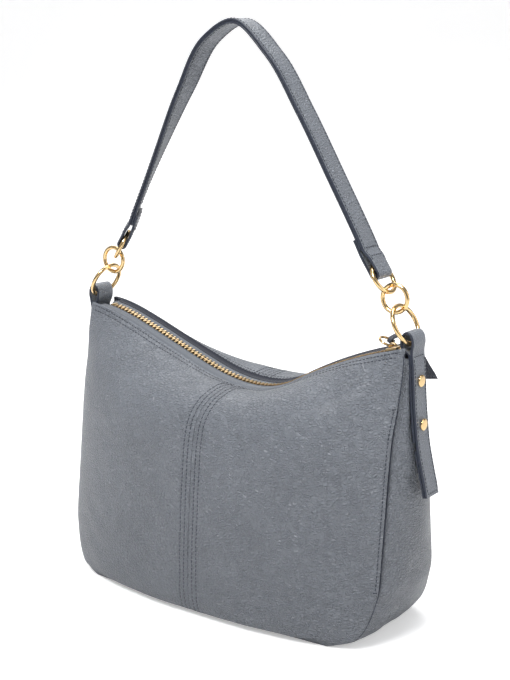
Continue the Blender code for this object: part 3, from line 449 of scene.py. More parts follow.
def new_node(tree, kind, inputs=None, **settings):
    node = tree.nodes.new("ShaderNode" + kind)
    for key, value in settings.items():
        setattr(node, key, value)
    feed(node, inputs or {})
    return node


def new_material(name):
    material = bpy.data.materials.new(name)
    material.use_nodes = True
    tree = material.node_tree
    tree.nodes.clear()
    out = new_node(tree, "OutputMaterial")
    shader = new_node(tree, "BsdfPrincipled")
    feed(out, {0: shader.outputs[0]})
    return material, tree, shader


def object_coords(tree):
    return new_node(tree, "TexCoord").outputs["Object"]


def math(tree, operation, *values):
    return new_node(tree, "Math", dict(enumerate(values)), operation=operation).outputs[0]


def ramp(tree, value, start, end, low, high):
    """Smooth step of value from low at start to high at end."""
    inputs = {"Value": value, "From Min": start, "From Max": end, "To Min": low, "To Max": high}
    return new_node(tree, "MapRange", inputs, interpolation_type="SMOOTHSTEP").outputs["Result"]


def noise(tree, coords, scale, detail=2.0, output="Fac"):
    inputs = {"Vector": coords, "Scale": scale, "Detail": detail}
    return new_node(tree, "TexNoise", inputs).outputs[output]


def wave(tree, coords, scale, distortion, **settings):
    inputs = {"Vector": coords, "Scale": scale, "Distortion": distortion}
    return new_node(tree, "TexWave", inputs, **settings).outputs["Fac"]


def cell_edges(tree, coords, scale):
    """Distance to the nearest border of a cell pattern."""
    inputs = {"Vector": coords, "Scale": scale}
    cells = new_node(tree, "TexVoronoi", inputs, feature="DISTANCE_TO_EDGE")
    return cells.outputs["Distance"]


def stretch(tree, coords, scale):
    return new_node(tree, "Mapping", {"Vector": coords, "Scale": scale}).outputs[0]


def mix(tree, factor, dark, light):
    inputs = {0: factor, 6: (*dark, 1), 7: (*light, 1)}
    return new_node(tree, "Mix", inputs, data_type="RGBA").outputs[2]


def bump(tree, shader, height, strength, distance):
    inputs = {"Height": height, "Strength": strength, "Distance": distance}
    feed(shader, {"Normal": new_node(tree, "Bump", inputs).outputs[0]})


def shade(tone, k):
    return tuple(c * k for c in tone)


# ------------------------------------------------------------------ materials
def leather(name, tone, grain=1.0, cell=2.75 * MM):
    """Pebbled leather: domed cells with thin valleys, a finer crackle and a satin coat."""
    material, tree, shader = new_material(name)
    coords = object_coords(tree)
    wobble = noise(tree, coords, scale=170, detail=0, output="Color")
    wobbled = new_node(tree, "VectorMath", {0: wobble, 1: (2.0 * MM,) * 3, 2: coords},
                       operation="MULTIPLY_ADD").outputs[0]
    pebbles = cell_edges(tree, stretch(tree, wobbled, (0.82, 0.82, 1.30)), scale=1 / cell)
    dome = ramp(tree, pebbles, start=-0.03, end=0.38, low=0.0, high=1.0)
    crackle = cell_edges(tree, wobbled, scale=2.35 / cell)
    fine = ramp(tree, crackle, start=0.0, end=0.22, low=0.0, high=1.0)
    cloud = noise(tree, coords, scale=26, detail=4)
    patch = ramp(tree, cloud, start=0.30, end=0.70, low=0.80, high=1.08)
    pores = noise(tree, coords, scale=2600)
    # relief: clouded domes, plus 3% crackle and 0.8% pores
    height = math(tree, "MULTIPLY", dome, patch)
    height = math(tree, "MULTIPLY_ADD", fine, 0.03, height)
    height = math(tree, "MULTIPLY_ADD", pores, 0.008, height)
    bump(tree, shader, height, strength=1.0, distance=1.15 * MM * grain)
    # colour: painted shade in the valleys between the domes, times a broad random tint and the painted height light
    # below
    painted_valley_shade = math(tree, "MULTIPLY_ADD", dome, 0.75, 0.25)
    base = mix(tree, painted_valley_shade, dark=shade(tone, 0.92), light=shade(tone, 1.05))
    tint = noise(tree, coords, scale=9, detail=5)
    # random tint of the hide; below it is multiplied by the painted height light
    tint_and_painted_light = ramp(tree, tint, start=0.25, end=0.75, low=0.975, high=1.025)
    # painted shade toward the base and painted light toward the mouth, standing in for how the light falls on the bag
    split = new_node(tree, "SeparateXYZ", {0: coords})
    painted_height_light = ramp(tree, split.outputs["Z"], start=0.02, end=0.23, low=0.88, high=1.11)
    tint_and_painted_light = math(tree, "MULTIPLY", tint_and_painted_light, painted_height_light)
    colour = new_node(tree, "VectorMath", {0: base, "Scale": tint_and_painted_light}, operation="SCALE")
    # roughness: smoother on the domes, uneven with the cloud
    rough = math(tree, "MULTIPLY_ADD", dome, -0.07, 0.41)
    rough = math(tree, "SUBTRACT", rough, 0.05)
    rough = math(tree, "MULTIPLY_ADD", cloud, 0.10, rough)
    feed(shader, {"Base Color": colour.outputs[0], "Roughness": rough,
                  "Specular IOR Level": 0.46, "Coat Weight": 0.16, "Coat Roughness": 0.30,
                  "Sheen Weight": 0.05, "Sheen Roughness": 0.5})
    return material


def painted_edge():
    material, tree, shader = new_material("edge_paint")
    tone = (0.014, 0.018, 0.030)
    grain = noise(tree, object_coords(tree), scale=700, detail=3)
    bump(tree, shader, grain, strength=0.25, distance=0.12 * MM)
    colour = mix(tree, grain, dark=tone, light=shade(tone, 1.8))
    feed(shader, {"Base Color": colour, "Roughness": 0.42})
    return material


def thread():
    material, tree, shader = new_material("thread")
    tone = (0.011, 0.015, 0.027)
    twist = wave(tree, object_coords(tree), scale=900, distortion=1.5)
    bump(tree, shader, twist, strength=0.5, distance=0.08 * MM)
    colour = mix(tree, twist, dark=tone, light=shade(tone, 1.5))
    feed(shader, {"Base Color": colour, "Roughness": 0.6, "Sheen Weight": 0.2})
    return material


def gold(name, rough, tone):
    """Pale gold plate with faint hairlines and handling marks."""
    material, tree, shader = new_material(name)
    coords = object_coords(tree)
    marks = noise(tree, coords, scale=160, detail=3)
    hairlines = noise(tree, stretch(tree, coords, (1, 1, 9)), scale=500)
    bump(tree, shader, hairlines, strength=0.02, distance=0.02 * MM)
    # the marks spread the roughness 0.04 either way
    roughness = math(tree, "MULTIPLY_ADD", marks, 0.08, rough - 0.04)
    colour = mix(tree, marks, dark=shade(tone, 0.94), light=tone)
    feed(shader, {"Base Color": colour, "Roughness": roughness, "Metallic": 1.0})
    return material


def cloth(name, tone, pitch=0.55 * MM):
    """Plain weave: crossed ribs with a little fibre fuzz."""
    material, tree, shader = new_material(name)
    coords = object_coords(tree)
    ribs = [wave(tree, coords, scale=1 / (pitch * 6.28) * 2, distortion=0.6,
                 bands_direction=axis) for axis in ("X", "Z")]
    fuzz = noise(tree, coords, scale=1800)
    height = math(tree, "MULTIPLY_ADD", fuzz, 0.4, math(tree, "MAXIMUM", *ribs))
    bump(tree, shader, height, strength=0.7, distance=0.15 * MM)
    colour = mix(tree, height, dark=shade(tone, 0.7), light=shade(tone, 1.2))
    feed(shader, {"Base Color": colour, "Roughness": 0.85, "Sheen Weight": 0.25})
    return material


HIDE = (0.145, 0.159, 0.183)
# the hide in copies a shade apart: the gusset and strap lining darker as painted shade, the strap and tab lighter as
# painted light
BODY_LEATHER = leather("body_leather", HIDE)
GUSSET_LEATHER = leather("gusset_leather", shade(HIDE, 0.95), cell=2.9 * MM)
STRAP_LEATHER = leather("strap_leather", shade(HIDE, 1.05), cell=2.7 * MM, grain=0.8)
STRAP_INNER = leather("strap_inner_leather", shade(HIDE, 0.93), cell=2.7 * MM, grain=0.8)
TAB_LEATHER = leather("tab_leather", shade(HIDE, 1.10), cell=2.2 * MM, grain=0.45)
# the pull is a tag in the bag's colour hanging in shadow behind the tab; its dark tone is painted shade
PULL_LEATHER = leather("pull_leather", (0.040, 0.046, 0.062), cell=1.9 * MM, grain=0.6)
EDGE_PAINT = painted_edge()
THREAD = thread()
RING_GOLD = gold("ring_gold", rough=0.16, tone=(0.84, 0.60, 0.30))
ZIP_GOLD = gold("zip_gold", rough=0.30, tone=(0.72, 0.53, 0.29))
TAPE_CLOTH = cloth("tape_cloth", (0.105, 0.117, 0.137))
# near-black cloth for the strip behind the back mouth edge: painted edge colour and painted shade
EDGE_SHADE_CLOTH = cloth("edge_shade_cloth", (0.012, 0.015, 0.026))
LINING_CLOTH = cloth("lining_cloth", (0.10, 0.11, 0.14), pitch=0.4 * MM)
BOARD_COVER = cloth("board_cover", (0.03, 0.03, 0.035), pitch=0.8 * MM)


# ------------------------------------------------------------------ mesh helpers
def new_mesh(name, verts, faces, materials):
    mesh = bpy.data.meshes.new(name)
    mesh.from_pydata(np.asarray(verts, float).tolist(), [], [list(map(int, f)) for f in faces])
    for material in materials:
        mesh.materials.append(material)
    return mesh


def link(name, data):
    obj = bpy.data.objects.new(name, data)
    bpy.context.scene.collection.objects.link(obj)
    return obj


def add_solid(name, verts, faces, materials, index=None, angle=60):
    """Closed mesh with outward normals, smooth up to the given angle in degrees."""
    mesh = new_mesh(name, verts, faces, materials)
    if index is not None:
        mesh.polygons.foreach_set("material_index", np.asarray(index, np.int32))
    bm = bmesh.new()
    bm.from_mesh(mesh)
    bmesh.ops.recalc_face_normals(bm, faces=bm.faces)
    if bm.calc_volume(signed=True) < 0:
        bmesh.ops.reverse_faces(bm, faces=bm.faces)
    bm.to_mesh(mesh)
    bm.free()
    mesh.shade_smooth()
    mesh.set_sharp_from_angle(angle=np.radians(angle))
    return link(name, mesh)


def join(parts):
    """One vertex array and face list from several."""
    faces, base = [], 0
    for verts, part_faces in parts:
        faces += [tuple(base + k for k in face) for face in part_faces]
        base += len(verts)
    return np.concatenate([verts for verts, _ in parts]), faces


def loft_faces(rows, cols, closed=False):
    """Faces round rows of cols points: capped at both ends, or closed into a ring."""
    faces = []
    for i in range(rows if closed else rows - 1):
        n = (i + 1) % rows
        for j in range(cols):
            k = (j + 1) % cols
            faces.append((i * cols + j, i * cols + k, n * cols + k, n * cols + j))
    if not closed:
        faces += [tuple(range(cols))[::-1], tuple((rows - 1) * cols + j for j in range(cols))]
    return faces


def oval_tube(centres, across, up, r_across, r_up, sides, closed=False):
    """Oval section carried along centres; directions and radii may vary from row to row."""
    turn = np.linspace(0, 2 * np.pi, sides, endpoint=False)[:, None]
    across = np.broadcast_to(across, centres.shape)[:, None]
    up = np.broadcast_to(up, centres.shape)[:, None]
    verts = (centres[:, None] + across * (np.cos(turn) * np.reshape(r_across, (-1, 1, 1)))
             + up * (np.sin(turn) * np.reshape(r_up, (-1, 1, 1))))
    return verts.reshape(-1, 3), loft_faces(len(centres), sides, closed)


def prism(origin, axes, outline, levels, about=0.0):
    """Outline stacked at levels of (height, scale about a point)."""
    axes = np.array(axes)
    verts = [origin + (about + (outline - about) * scale) @ axes[:2] + axes[2] * height
             for height, scale in levels]
    return np.concatenate(verts), loft_faces(len(levels), len(outline))


def rounded_box(centre, size, axes, radius, segments):
    bm = bmesh.new()
    bmesh.ops.create_cube(bm, size=1.0)
    for vert in bm.verts:
        vert.co = Vector([c * length for c, length in zip(vert.co, size)])
    bmesh.ops.bevel(bm, geom=list(bm.edges) + list(bm.verts), offset=radius, segments=segments,
                    profile=0.5, affect="EDGES")
    bm.verts.ensure_lookup_table()
    ax, ay, az = np.array(axes)
    verts = [centre + ax * p.co.x + ay * p.co.y + az * p.co.z for p in bm.verts]
    faces = [tuple(p.index for p in face.verts) for face in bm.faces]
    bm.free()
    return np.array(verts), faces


def shell(name, outer, inner, materials, rim=(1, 1, 1, 1), angle=60):
    """Closed sheet between two grids; rim: materials of the top, right, bottom, left edges."""
    rows, cols = outer.shape[:2]
    q = rows * cols
    a = (np.arange(rows - 1)[:, None] * cols + np.arange(cols - 1)[None]).reshape(-1)
    outside = np.stack([a, a + 1, a + cols + 1, a + cols], 1)
    inside = np.stack([q + a, q + a + cols, q + a + cols + 1, q + a + 1], 1)
    faces = np.concatenate([outside, inside]).tolist()
    index = [0] * len(faces)
    last = (rows - 1) * cols
    top = [(j, j + 1) for j in range(cols - 1)]
    right = [(i * cols + cols - 1, (i + 1) * cols + cols - 1) for i in range(rows - 1)]
    bottom = [(last + j + 1, last + j) for j in range(cols - 1)]
    left = [((i + 1) * cols, i * cols) for i in range(rows - 1)]
    for edge, slot in zip((top, right, bottom, left), rim):
        faces += [[y, x, q + x, q + y] for x, y in edge]
        index += [slot] * len(edge)
    verts = np.concatenate([outer.reshape(-1, 3), inner.reshape(-1, 3)])
    return add_solid(name, verts, faces, materials, index, angle)


def section(half_w, thick, crown, flat_points):
    """Rounded strip outline, rows of (across, up, 1 on the edge or 0 on a flat)."""
    r = min(0.45 * thick, 0.75 * MM)
    half_t = thick / 2

    def corner(sx, sy, *degrees):
        return [(sx * (half_w - r) + r * np.cos(a), sy * (half_t - r) + r * np.sin(a), 1)
                for a in np.radians(degrees)]

    xs = np.linspace(-(half_w - r), half_w - r, flat_points)
    points = [(x, half_t + crown * (1 - (x / half_w) ** 2), 0) for x in xs]
    points += corner(1, 1, 60, 30)
    points += [(half_w, half_t - r, 1), (half_w, -half_t + r, 1)]
    points += corner(1, -1, -30, -60)
    points += [(x, -half_t, 0) for x in xs[::-1]]
    points += corner(-1, -1, -120, -150)
    points += [(-half_w, -half_t + r, 1), (-half_w, half_t - r, 1)]
    points += corner(-1, 1, 150, 120)
    return np.array(points)


def sweep(name, path, widths, normals, half_w, thick, leather_mat, crown=0.0, flat_points=9):
    """Leather strip with rounded painted edges along a path."""
    half_w = np.broadcast_to(half_w, (len(path),))
    widths = unit(np.broadcast_to(widths, path.shape))[:, None]
    normals = unit(normals)[:, None]
    cuts = np.array([section(half, thick, crown, flat_points) for half in half_w])
    verts = path[:, None] + widths * cuts[..., :1] + normals * cuts[..., 1:2]
    edge = cuts[0, :, 2].astype(int)
    index = list(edge | np.roll(edge, -1)) * (len(path) - 1) + [1, 1]
    faces = loft_faces(len(path), len(edge))
    return add_solid(name, verts.reshape(-1, 3), faces, [leather_mat, EDGE_PAINT], index, 50)


# ------------------------------------------------------------------ stitching
# stitch sizes: pitch, length
CENTRE_STITCH = (3.5 * MM, 2.85 * MM)
EDGE_STITCH = (3.3 * MM, 2.7 * MM)
END_STITCH = (3.1 * MM, 2.55 * MM)
TAB_CROSS_STITCH = (3.0 * MM, 2.5 * MM)
BAR_STITCH = (1.9 * MM, 1.7 * MM)
THREAD_R = 0.40 * MM
# one stitch, dipping into the leather at both ends: place along it, width, rise
STITCH = np.array([(-0.5, 0.45, -0.42), (-0.40, 0.9, -0.10), (-0.2, 1.0, 0.10),
                   (0.2, 1.0, 0.10), (0.40, 0.9, -0.10), (0.5, 0.45, -0.42)])
STITCH_LIFT, STITCH_RISE = 0.04 * MM, 0.55 * MM
STITCH_JITTER = 0.05 * MM
STITCH_SLANT = 0.10
queued = {}


def stitches(group, line, normals, size):
    """Queues a row of stitches along a line on a surface."""
    pitch, length = size
    normals = unit(np.broadcast_to(normals, line.shape))
    run = lengths(line)
    count = int((run[-1] - 0.2 * pitch) // pitch)
    places = (run[-1] - count * pitch) / 2 + pitch * (np.arange(count) + 0.5)
    places = places + rng.normal(0, STITCH_JITTER, count)
    reach = 0.6 * MM
    for place in places:
        forward = unit(resample(line, run, place + reach) - resample(line, run, place - reach))
        up = resample(normals, run, place)
        up = unit(up - forward * np.dot(up, forward))
        across = np.cross(forward, up)
        slanted = unit(forward + across * STITCH_SLANT)
        centres = (resample(line, run, place) + slanted * STITCH[:, :1] * length
                   + up * (STITCH_LIFT + STITCH[:, 2:] * STITCH_RISE))
        radius = THREAD_R * STITCH[:, 1]
        part = oval_tube(centres, across, up, radius, radius * 0.85, sides=6)
        queued.setdefault(group, []).append(part)


def cross_stitches(group, centre, across, half, normal, size):
    row = centre + across * (np.linspace(-1, 1, 12)[:, None] * half)
    stitches(group, row, normal, size)


def sew(group, body):
    """Makes one object of a group's queued stitches."""
    mesh = new_mesh(group, *join(queued[group]), [THREAD])
    mesh.shade_smooth()
    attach(link(group, mesh), body)


# ------------------------------------------------------------------ softness of the leather
# direction, phase and wavelength of each wave
WAVES = [(unit(rng.normal(0, 1, 3)), rng.uniform(0, 6.28), size)
         for size in (0.055, 0.048, 0.040, 0.034, 0.027, 0.022, 0.018)]
WAVE_HEIGHT = 0.0042               # of the wavelength

# creases of the front panels: start, end, width mm, depth mm; the back's are turned half round
CREASES = (
    ((.136, -.026, .214), (.106, -.052, .196), 1.7, 1.0),
    ((.142, -.024, .207), (.118, -.045, .184), 1.7, 1.0),
    ((.128, -.028, .221), (.094, -.052, .205), 1.6, .70),
    ((.147, -.022, .196), (.130, -.038, .171), 1.6, .75),
    ((.112, -.033, .218), (.082, -.058, .199), 1.8, .55),
    ((.120, -.060, .060), (.085, -.070, .045), 2.6, .38),
    ((.134, -.052, .075), (.104, -.066, .052), 2.4, .34),
    ((.128, -.055, .042), (.090, -.071, .030), 2.4, .36),
    ((-.140, -.024, .222), (-.112, -.044, .206), 2.2, .36),
    ((-.145, -.030, .190), (-.118, -.050, .176), 2.4, .30),
    ((-.130, -.054, .060), (-.090, -.070, .044), 2.8, .34),
    ((.050, -.055, .176), (.016, -.066, .166), 2.6, .30))


def soft(points):
    """Gentle unevenness of a filled leather body."""
    out = np.zeros(points.shape[:-1])
    for way, phase, size in WAVES:
        bend = 1.3 * np.sin(points[..., 2] * 60 + phase)
        out += np.sin((points @ way) * 2 * np.pi / size + phase + bend) * size * WAVE_HEIGHT
    return out


def crease(points, start, end, width, depth):
    """A soft crease between two points: a valley with a low ridge round it."""
    run = end - start
    t = ((points - start) @ run) / np.linalg.norm(run) ** 2
    foot = start + clamp(t)[..., None] * run
    away = np.linalg.norm(points - foot, axis=-1)
    fade = np.sin(np.pi * clamp(t)) ** 0.7
    return -depth * (bell(away, width) - 0.55 * bell(away - 1.9 * width, width)) * fade


# ------------------------------------------------------------------ panels
CENTRE_ROWS = (4.3, 8.6)           # mm from the centre seam to its stitch rows
MOUTH_ROWS = (2.8, 7.4)            # mm from the mouth edge to its stitch rows
POCKET_ROW = 1.7 * MM              # from the pocket's free edge to its stitch row

# grid columns in mm from the centre seam: close at the seam and its stitching, and at the end
COLUMNS = np.concatenate([
    [0, .25, .55, .9, 1.3, 1.8, 2.5, 3.2, 3.8, 4.3, 4.8, 5.4, 6.2, 7.0, 7.8, 8.2, 8.6, 9.0, 9.5,
     10.4, 11.6, 13.2, 15],
    np.arange(17.0, 153, 2.0),
    [153.6, 155, 156.3, 157.5, 158.6, 159.6, 160.5, 161.3, 162.0, 162.6, 163.1, 163.6, 164.0,
     164.35, 164.65, 164.85, 165]]) / (HALF_WIDTH / MM)
# grid rows: mm from the mouth, then mm from the base
ROWS = np.concatenate([
    np.array([0, .3, .7, 1.2, 1.8, 2.3, 2.8, 3.3, 3.9, 4.8, 5.8, 6.6, 7.4, 8.2, 9.2, 10.6,
              12.4]) / (MOUTH_RUN / MM),
    np.arange(14.5, 258, 2.1) / (MOUTH_RUN / MM),
    1 - np.array([3.6, 2.6, 1.9, 1.3, .8, .4, .15, 0]) / (BASE_RUN / MM)])


def panel_detail(u, v, face, end_u, points):
    """Height of the visible surface over the plain panel."""
    half = curve(SEAM, v)[..., 0]
    from_seam = np.abs((u - seam_u(v)) * half)
    from_end = (np.abs(end_u) - np.abs(u)) * half * 1.5
    from_base = (1 - v) * BASE_RUN
    from_mouth = v * MOUTH_RUN
    # unevenness, held flat at the edges
    h = soft(points) * clamp(from_end / 0.02) * clamp(from_base / 0.02)
    h = h * clamp(from_mouth / 0.012) * np.clip(from_seam / 0.012, 0.25, 1)
    # edges rolled over: distance, depth mm, width mm
    for distance, depth, width in ((from_end, 1.25, 3.0), (from_base, 1.2, 3.0),
                                   (from_mouth, 0.45, 1.0), (from_seam, 0.75, 1.7)):
        h = h - depth * MM * roll(distance, width * MM)
    # grooves under the stitch rows
    for row in CENTRE_ROWS:
        h = h - 0.30 * MM * bell(from_seam - row * MM, 0.75 * MM)
    for row in MOUTH_ROWS:
        h = h - 0.22 * MM * bell(from_mouth - row * MM, 0.8 * MM)
    turn = np.array((-1, -1, 1) if face > 0 else (1, 1, 1))
    for start, end, width, depth in CREASES:
        h = h + crease(points, start * turn, end * turn, width * MM, depth * MM)
    return h


def free_edge(v):
    """u of the right front panel's edge, and how far it is free of the seam (0..1)."""
    free = smooth(clamp((v - FREE_V[0]) / 0.035) * clamp((FREE_V[1] - v) / 0.030))
    sag = 0.0008 * np.sin(np.pi * clamp((v - FREE_V[0]) / (FREE_V[1] - FREE_V[0])))
    return END_U + (0.9955 - sag - END_U) * free, free


def pocket_fold(from_edge, free):
    """Extra height of the folded free edge, with a groove under its stitch row."""
    fold = 1.5 * MM * bell(from_edge, 6 * MM) + 1.2 * MM * roll(from_edge, 1.6 * MM)
    return free * (fold - 0.30 * MM * bell(from_edge - POCKET_ROW, 0.5 * MM))


def add_panel(name, face, side):
    pocket = face < 0 and side > 0
    v = ROWS[:, None]
    start = seam_u(v) + side * 0.10 * MM / U_RUN
    end = np.full_like(v, END_U * side)
    if pocket:
        end, free = free_edge(v)
    u = start + (end - start) * COLUMNS[None, :]
    v = v + 0 * u
    points, normals = panel(u, v, face), panel_normal(u, v, face)
    h = panel_detail(u, v, face, end, points)
    if pocket:
        from_edge = (np.abs(end) - np.abs(u)) * U_RUN
        h = h + pocket_fold(from_edge, free)
    outer = points + normals * h[..., None]
    inner = panel_inset(u, v, face, LEATHER)
    if pocket:
        # next to its free edge the panel is a plain thick fold
        k = (free * clamp(1 - from_edge / (8 * MM)))[..., None]
        inner = inner * (1 - k) + (outer - normals * (2.6 * MM)) * k
    piece = shell(name, outer, inner, [BODY_LEATHER, EDGE_PAINT],
                  rim=(1, 0 if pocket else 1, 1, 1), angle=70)
    finish(piece, name, "bag")


def on_panel(u, v, face, lift=0.0, end=END_U):
    """Points and normals on the visible panel surface."""
    points, normals = panel(u, v, face), panel_normal(u, v, face)
    h = panel_detail(u, v, face, end, points) + lift
    return points + normals * h[..., None], normals


for face, face_tag in FACES:
    for side, side_tag in SIDES:
        add_panel(f"{face_tag}_panel_{side_tag}", face, side)

# two rows each side of the centre seam, and two under each mouth edge
for face, tag in FACES:
    v = np.linspace(0.006, 0.982, 260)
    for offset in (-CENTRE_ROWS[1], -CENTRE_ROWS[0], *CENTRE_ROWS):
        u = seam_u(v) + offset * MM / curve(SEAM, v)[:, 0]
        stitches("thread_centre_" + tag, *on_panel(u, v, face), CENTRE_STITCH)
    u = np.linspace(-0.972, 0.972, 300)
    for row in MOUTH_ROWS:
        v = np.full_like(u, row / (MOUTH_RUN / MM))
        stitches("thread_mouth_" + tag, *on_panel(u, v, face), EDGE_STITCH)
    sew("thread_centre_" + tag, "bag")
    sew("thread_mouth_" + tag, "bag")


def sew_pocket():
    """The pocket mouth's own row, with a short bar at each end."""
    ends = (FREE_V[0] + 0.030, FREE_V[1] - 0.026)
    v = np.linspace(*ends, 200)
    edge, free = free_edge(v)
    u = edge - POCKET_ROW / U_RUN
    lift = pocket_fold((edge - u) * U_RUN, free)
    stitches("thread_pocket", *on_panel(u, v, -1, lift, edge), EDGE_STITCH)
    for end_v in ends:
        inward = np.linspace(0.1, 3.4, 12) * MM / U_RUN
        v = np.full(12, end_v)
        edge, free = free_edge(v)
        bar = on_panel(edge - inward, v, -1, 1.4 * MM * free, edge)
        stitches("thread_pocket", *bar, BAR_STITCH)
    sew("thread_pocket", "bag")


sew_pocket()

# ------------------------------------------------------------------ gussets
# fine wrinkles below the tab's free end: Z, from w, to w, depth mm
WRINKLES = ((.131, -.75, .40, .42), (.127, -.60, .55, .50), (.1225, -.70, .30, .45),
            (.118, -.45, .60, .36), (.136, -.8, -.2, .40), (.113, -.6, .2, .28))


def gusset_detail(w, v, side, points):
    """Height of the visible surface over the plain gusset."""
    half = curve(SEAM, v)[..., 1]
    from_edge = (1 - np.abs(w)) * half
    h = soft(points * 1.15 + 0.4) * clamp(from_edge / 0.010) * 0.8
    h = h - 1.2 * MM * roll(from_edge, 2.8 * MM)
    z = points[..., 2]
    up = LEFT_UP if side < 0 else 0
    if side > 0:
        # beside the pocket mouth the gusset dips under the free edge
        run = clamp((v - FREE_V[0]) / 0.04) * clamp((FREE_V[1] - v) / 0.04)
        h = h - 1.0 * MM * run * bell((w + 1) * half, 1.6 * MM)
    # a long soft fold between the tab and each seam, fading down the bag: w, depth mm
    fade = clamp((z - 0.135) / 0.05) * clamp((0.242 - z) / 0.02)
    for fold_w, depth in ((-0.80, 1.7), (0.80, 1.3)):
        h = h - depth * MM * bell(w - fold_w, 0.12) * fade
        h = h + 0.55 * depth * MM * bell(w - fold_w * 0.66, 0.11) * fade
    for k, (wrinkle_z, w0, w1, depth) in enumerate(WRINKLES):
        bent_z = wrinkle_z + up + 0.0022 * np.sin((w + 0.3 * k) * 4.0) + 0.0015 * w
        span = clamp((w - w0) / 0.18) * clamp((w1 - w) / 0.18)
        r = (z - bent_z) / (1.15 * MM)
        h = h - depth * MM * (bell(r, 1) - 0.5 * bell(r - 1.9, 1)) * span
    # five tucks towards the base corner
    fade = clamp((v - 0.80) / 0.08) * clamp((1 - v) / 0.05)
    for k in range(5):
        h = h - 0.28 * MM * bell(w - (-0.62 + 0.31 * k), 0.06) * fade
    return h


def add_gusset(side, tag):
    v = np.concatenate([np.linspace(GUSSET_TOP, GUSSET_TOP + 0.01, 4),
                        np.arange(GUSSET_TOP + 0.018, 0.985, 0.0085),
                        [0.988, 0.992, 0.994]])[:, None]
    w = 1 - (1 - np.linspace(0, 1, 22)) ** 1.6
    w = np.concatenate([-w[:0:-1], w])[None, :] * (1 - 0.15 * MM / curve(SEAM, v)[..., 1])
    v = v + 0 * w
    # the top edge dips behind the tab and rises at the seams
    top = clamp(1 - (v - GUSSET_TOP) / 0.05)
    v = v + (TAB_NOTCH * (1 - np.abs(w) ** 8) - 0.017 * np.abs(w) ** 8) * top
    points = gusset(w, v, side)
    h = gusset_detail(w, v, side, points)[..., None]
    outer = points + gusset_normal(w, v, side) * h
    inner = gusset_inset(w, v, side, LEATHER)
    name = "gusset_" + tag
    piece = shell(name, outer, inner, [GUSSET_LEATHER, EDGE_PAINT], angle=70)
    finish(piece, name, "bag")


def add_seam_cord(face, side, name):
    """Dark cord sunk in the seam between a panel and a gusset."""
    v = np.linspace(0.02, 0.995, 240)
    mitre = seam_dir(float(side), v, float(face))
    path = panel(np.full(240, side * 0.9995), v, face) + mitre * 1.35 * MM
    tangent = unit(np.gradient(path, axis=0))
    across = unit(np.cross(tangent, mitre))
    r = 0.75 * MM
    cord = oval_tube(path, across, np.cross(tangent, across), r, r, sides=8)
    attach(add_solid(name, *cord, [EDGE_PAINT]), "bag")


for side, tag in SIDES:
    add_gusset(side, tag)
for face, face_tag in FACES:
    for side, side_tag in SIDES:
        add_seam_cord(face, side, f"seam_cord_{face_tag}_{side_tag}")


# ------------------------------------------------------------------ base and pocket back
def add_base():
    lo, hi = box_of("base_panel")
    u = np.linspace(-1, 1, 60)
    w = np.linspace(-1, 1, 25)[:, None]
    half_y = np.abs(panel(u * END_U, np.ones(60), 1)[:, 1]) - 0.4 * MM
    # rounded up by 0.35 mm at the outline
    inside = np.minimum(1, np.minimum((1 - np.abs(u))[None] * 60, (1 - np.abs(w)) * 25))
    z = 0.35 * MM * (1 - inside) + lo[2]
    outer = np.stack([np.broadcast_to(u * hi[0], z.shape), w * half_y, z], -1)
    inner = outer * np.array([0.985, 0.97, 0]) + np.array([0, 0, hi[2]])
    piece = shell("base_panel", outer, inner, [BODY_LEATHER, EDGE_PAINT])
    finish(piece, "base_panel", "bag")


def add_pocket_back():
    """Layer behind the pocket mouth."""
    v = np.linspace(.14, .945, 110)[:, None]
    u = (1 - (1 - np.linspace(0.05, 1, 50)) ** 1.6)[None, :] * 0.9965
    depth = LEATHER + GAP
    outer, inner = (panel_inset(u, v, -1, d) for d in (depth, depth + 0.8 * MM))
    # the pocket back is the hide darkened to 0.8 as painted shade inside the pocket
    materials = [leather("pocket_leather", shade(HIDE, 0.8)), EDGE_PAINT]
    piece = shell("pocket_back", outer, inner, materials)
    finish(piece, "pocket_back", "bag")


add_base()
add_pocket_back()

# ------------------------------------------------------------------ mouth
# section of the dark strip inside the back edge, the painted edge's colour carried on as painted shade: Y, mm above the
# track
EDGE_SHADE_STRIP = ((.0153, 2.7), (.0146, 1.9), (.0134, 1.2), (.0118, .84), (.0100, .62))
TAPE_UNDER_V = (.05, .03, .02, .01, .002)                     # tape rows under the panel
TAPE_FLAT_Y = (.0125, .0105, .0085, .0065, .0055, .0046)      # tape rows beside the teeth


def add_facing(face, tag):
    u = np.linspace(-0.957, 0.957, 150)[None, :]
    v = np.linspace(.004, .10, 16)[:, None]
    depth = LEATHER + 3 * GAP + 0.9 * MM
    outer, inner = (panel_inset(u, v, face, d) for d in (depth, depth + 1.0 * MM))
    name = "mouth_facing_" + tag
    finish(shell(name, outer, inner, [TAB_LEATHER, EDGE_PAINT]), name, "bag")


def add_edge_bead(face, tag):
    """Bead along the mouth edge: small and leather at the front, full and dark at the back."""
    u = np.linspace(-0.984, 0.984, 220)
    points = panel(u, np.zeros(220), face)
    inward = np.array([0, -face, 0.0])
    tangent = unit(np.gradient(points, axis=0))
    up = facing(unit(np.cross(tangent, inward)), (0, 0, 1))
    if face < 0:
        half_w, half_h, sink, material = 0.55 * MM, 0.85 * MM, -0.35 * MM, TAB_LEATHER
    else:
        # the back bead is full and dark: painted edge, made large to carry painted shade beside the edge as well
        half_w, half_h, sink, material = 1.1 * MM, 1.9 * MM, 0.5 * MM, EDGE_PAINT
    centres = points + inward * 0.15 * MM - up * (1.05 * MM + sink)
    bead = oval_tube(centres, inward, up, half_w, half_h, sides=12)
    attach(add_solid("edge_paint_" + tag, *bead, [material]), "bag")


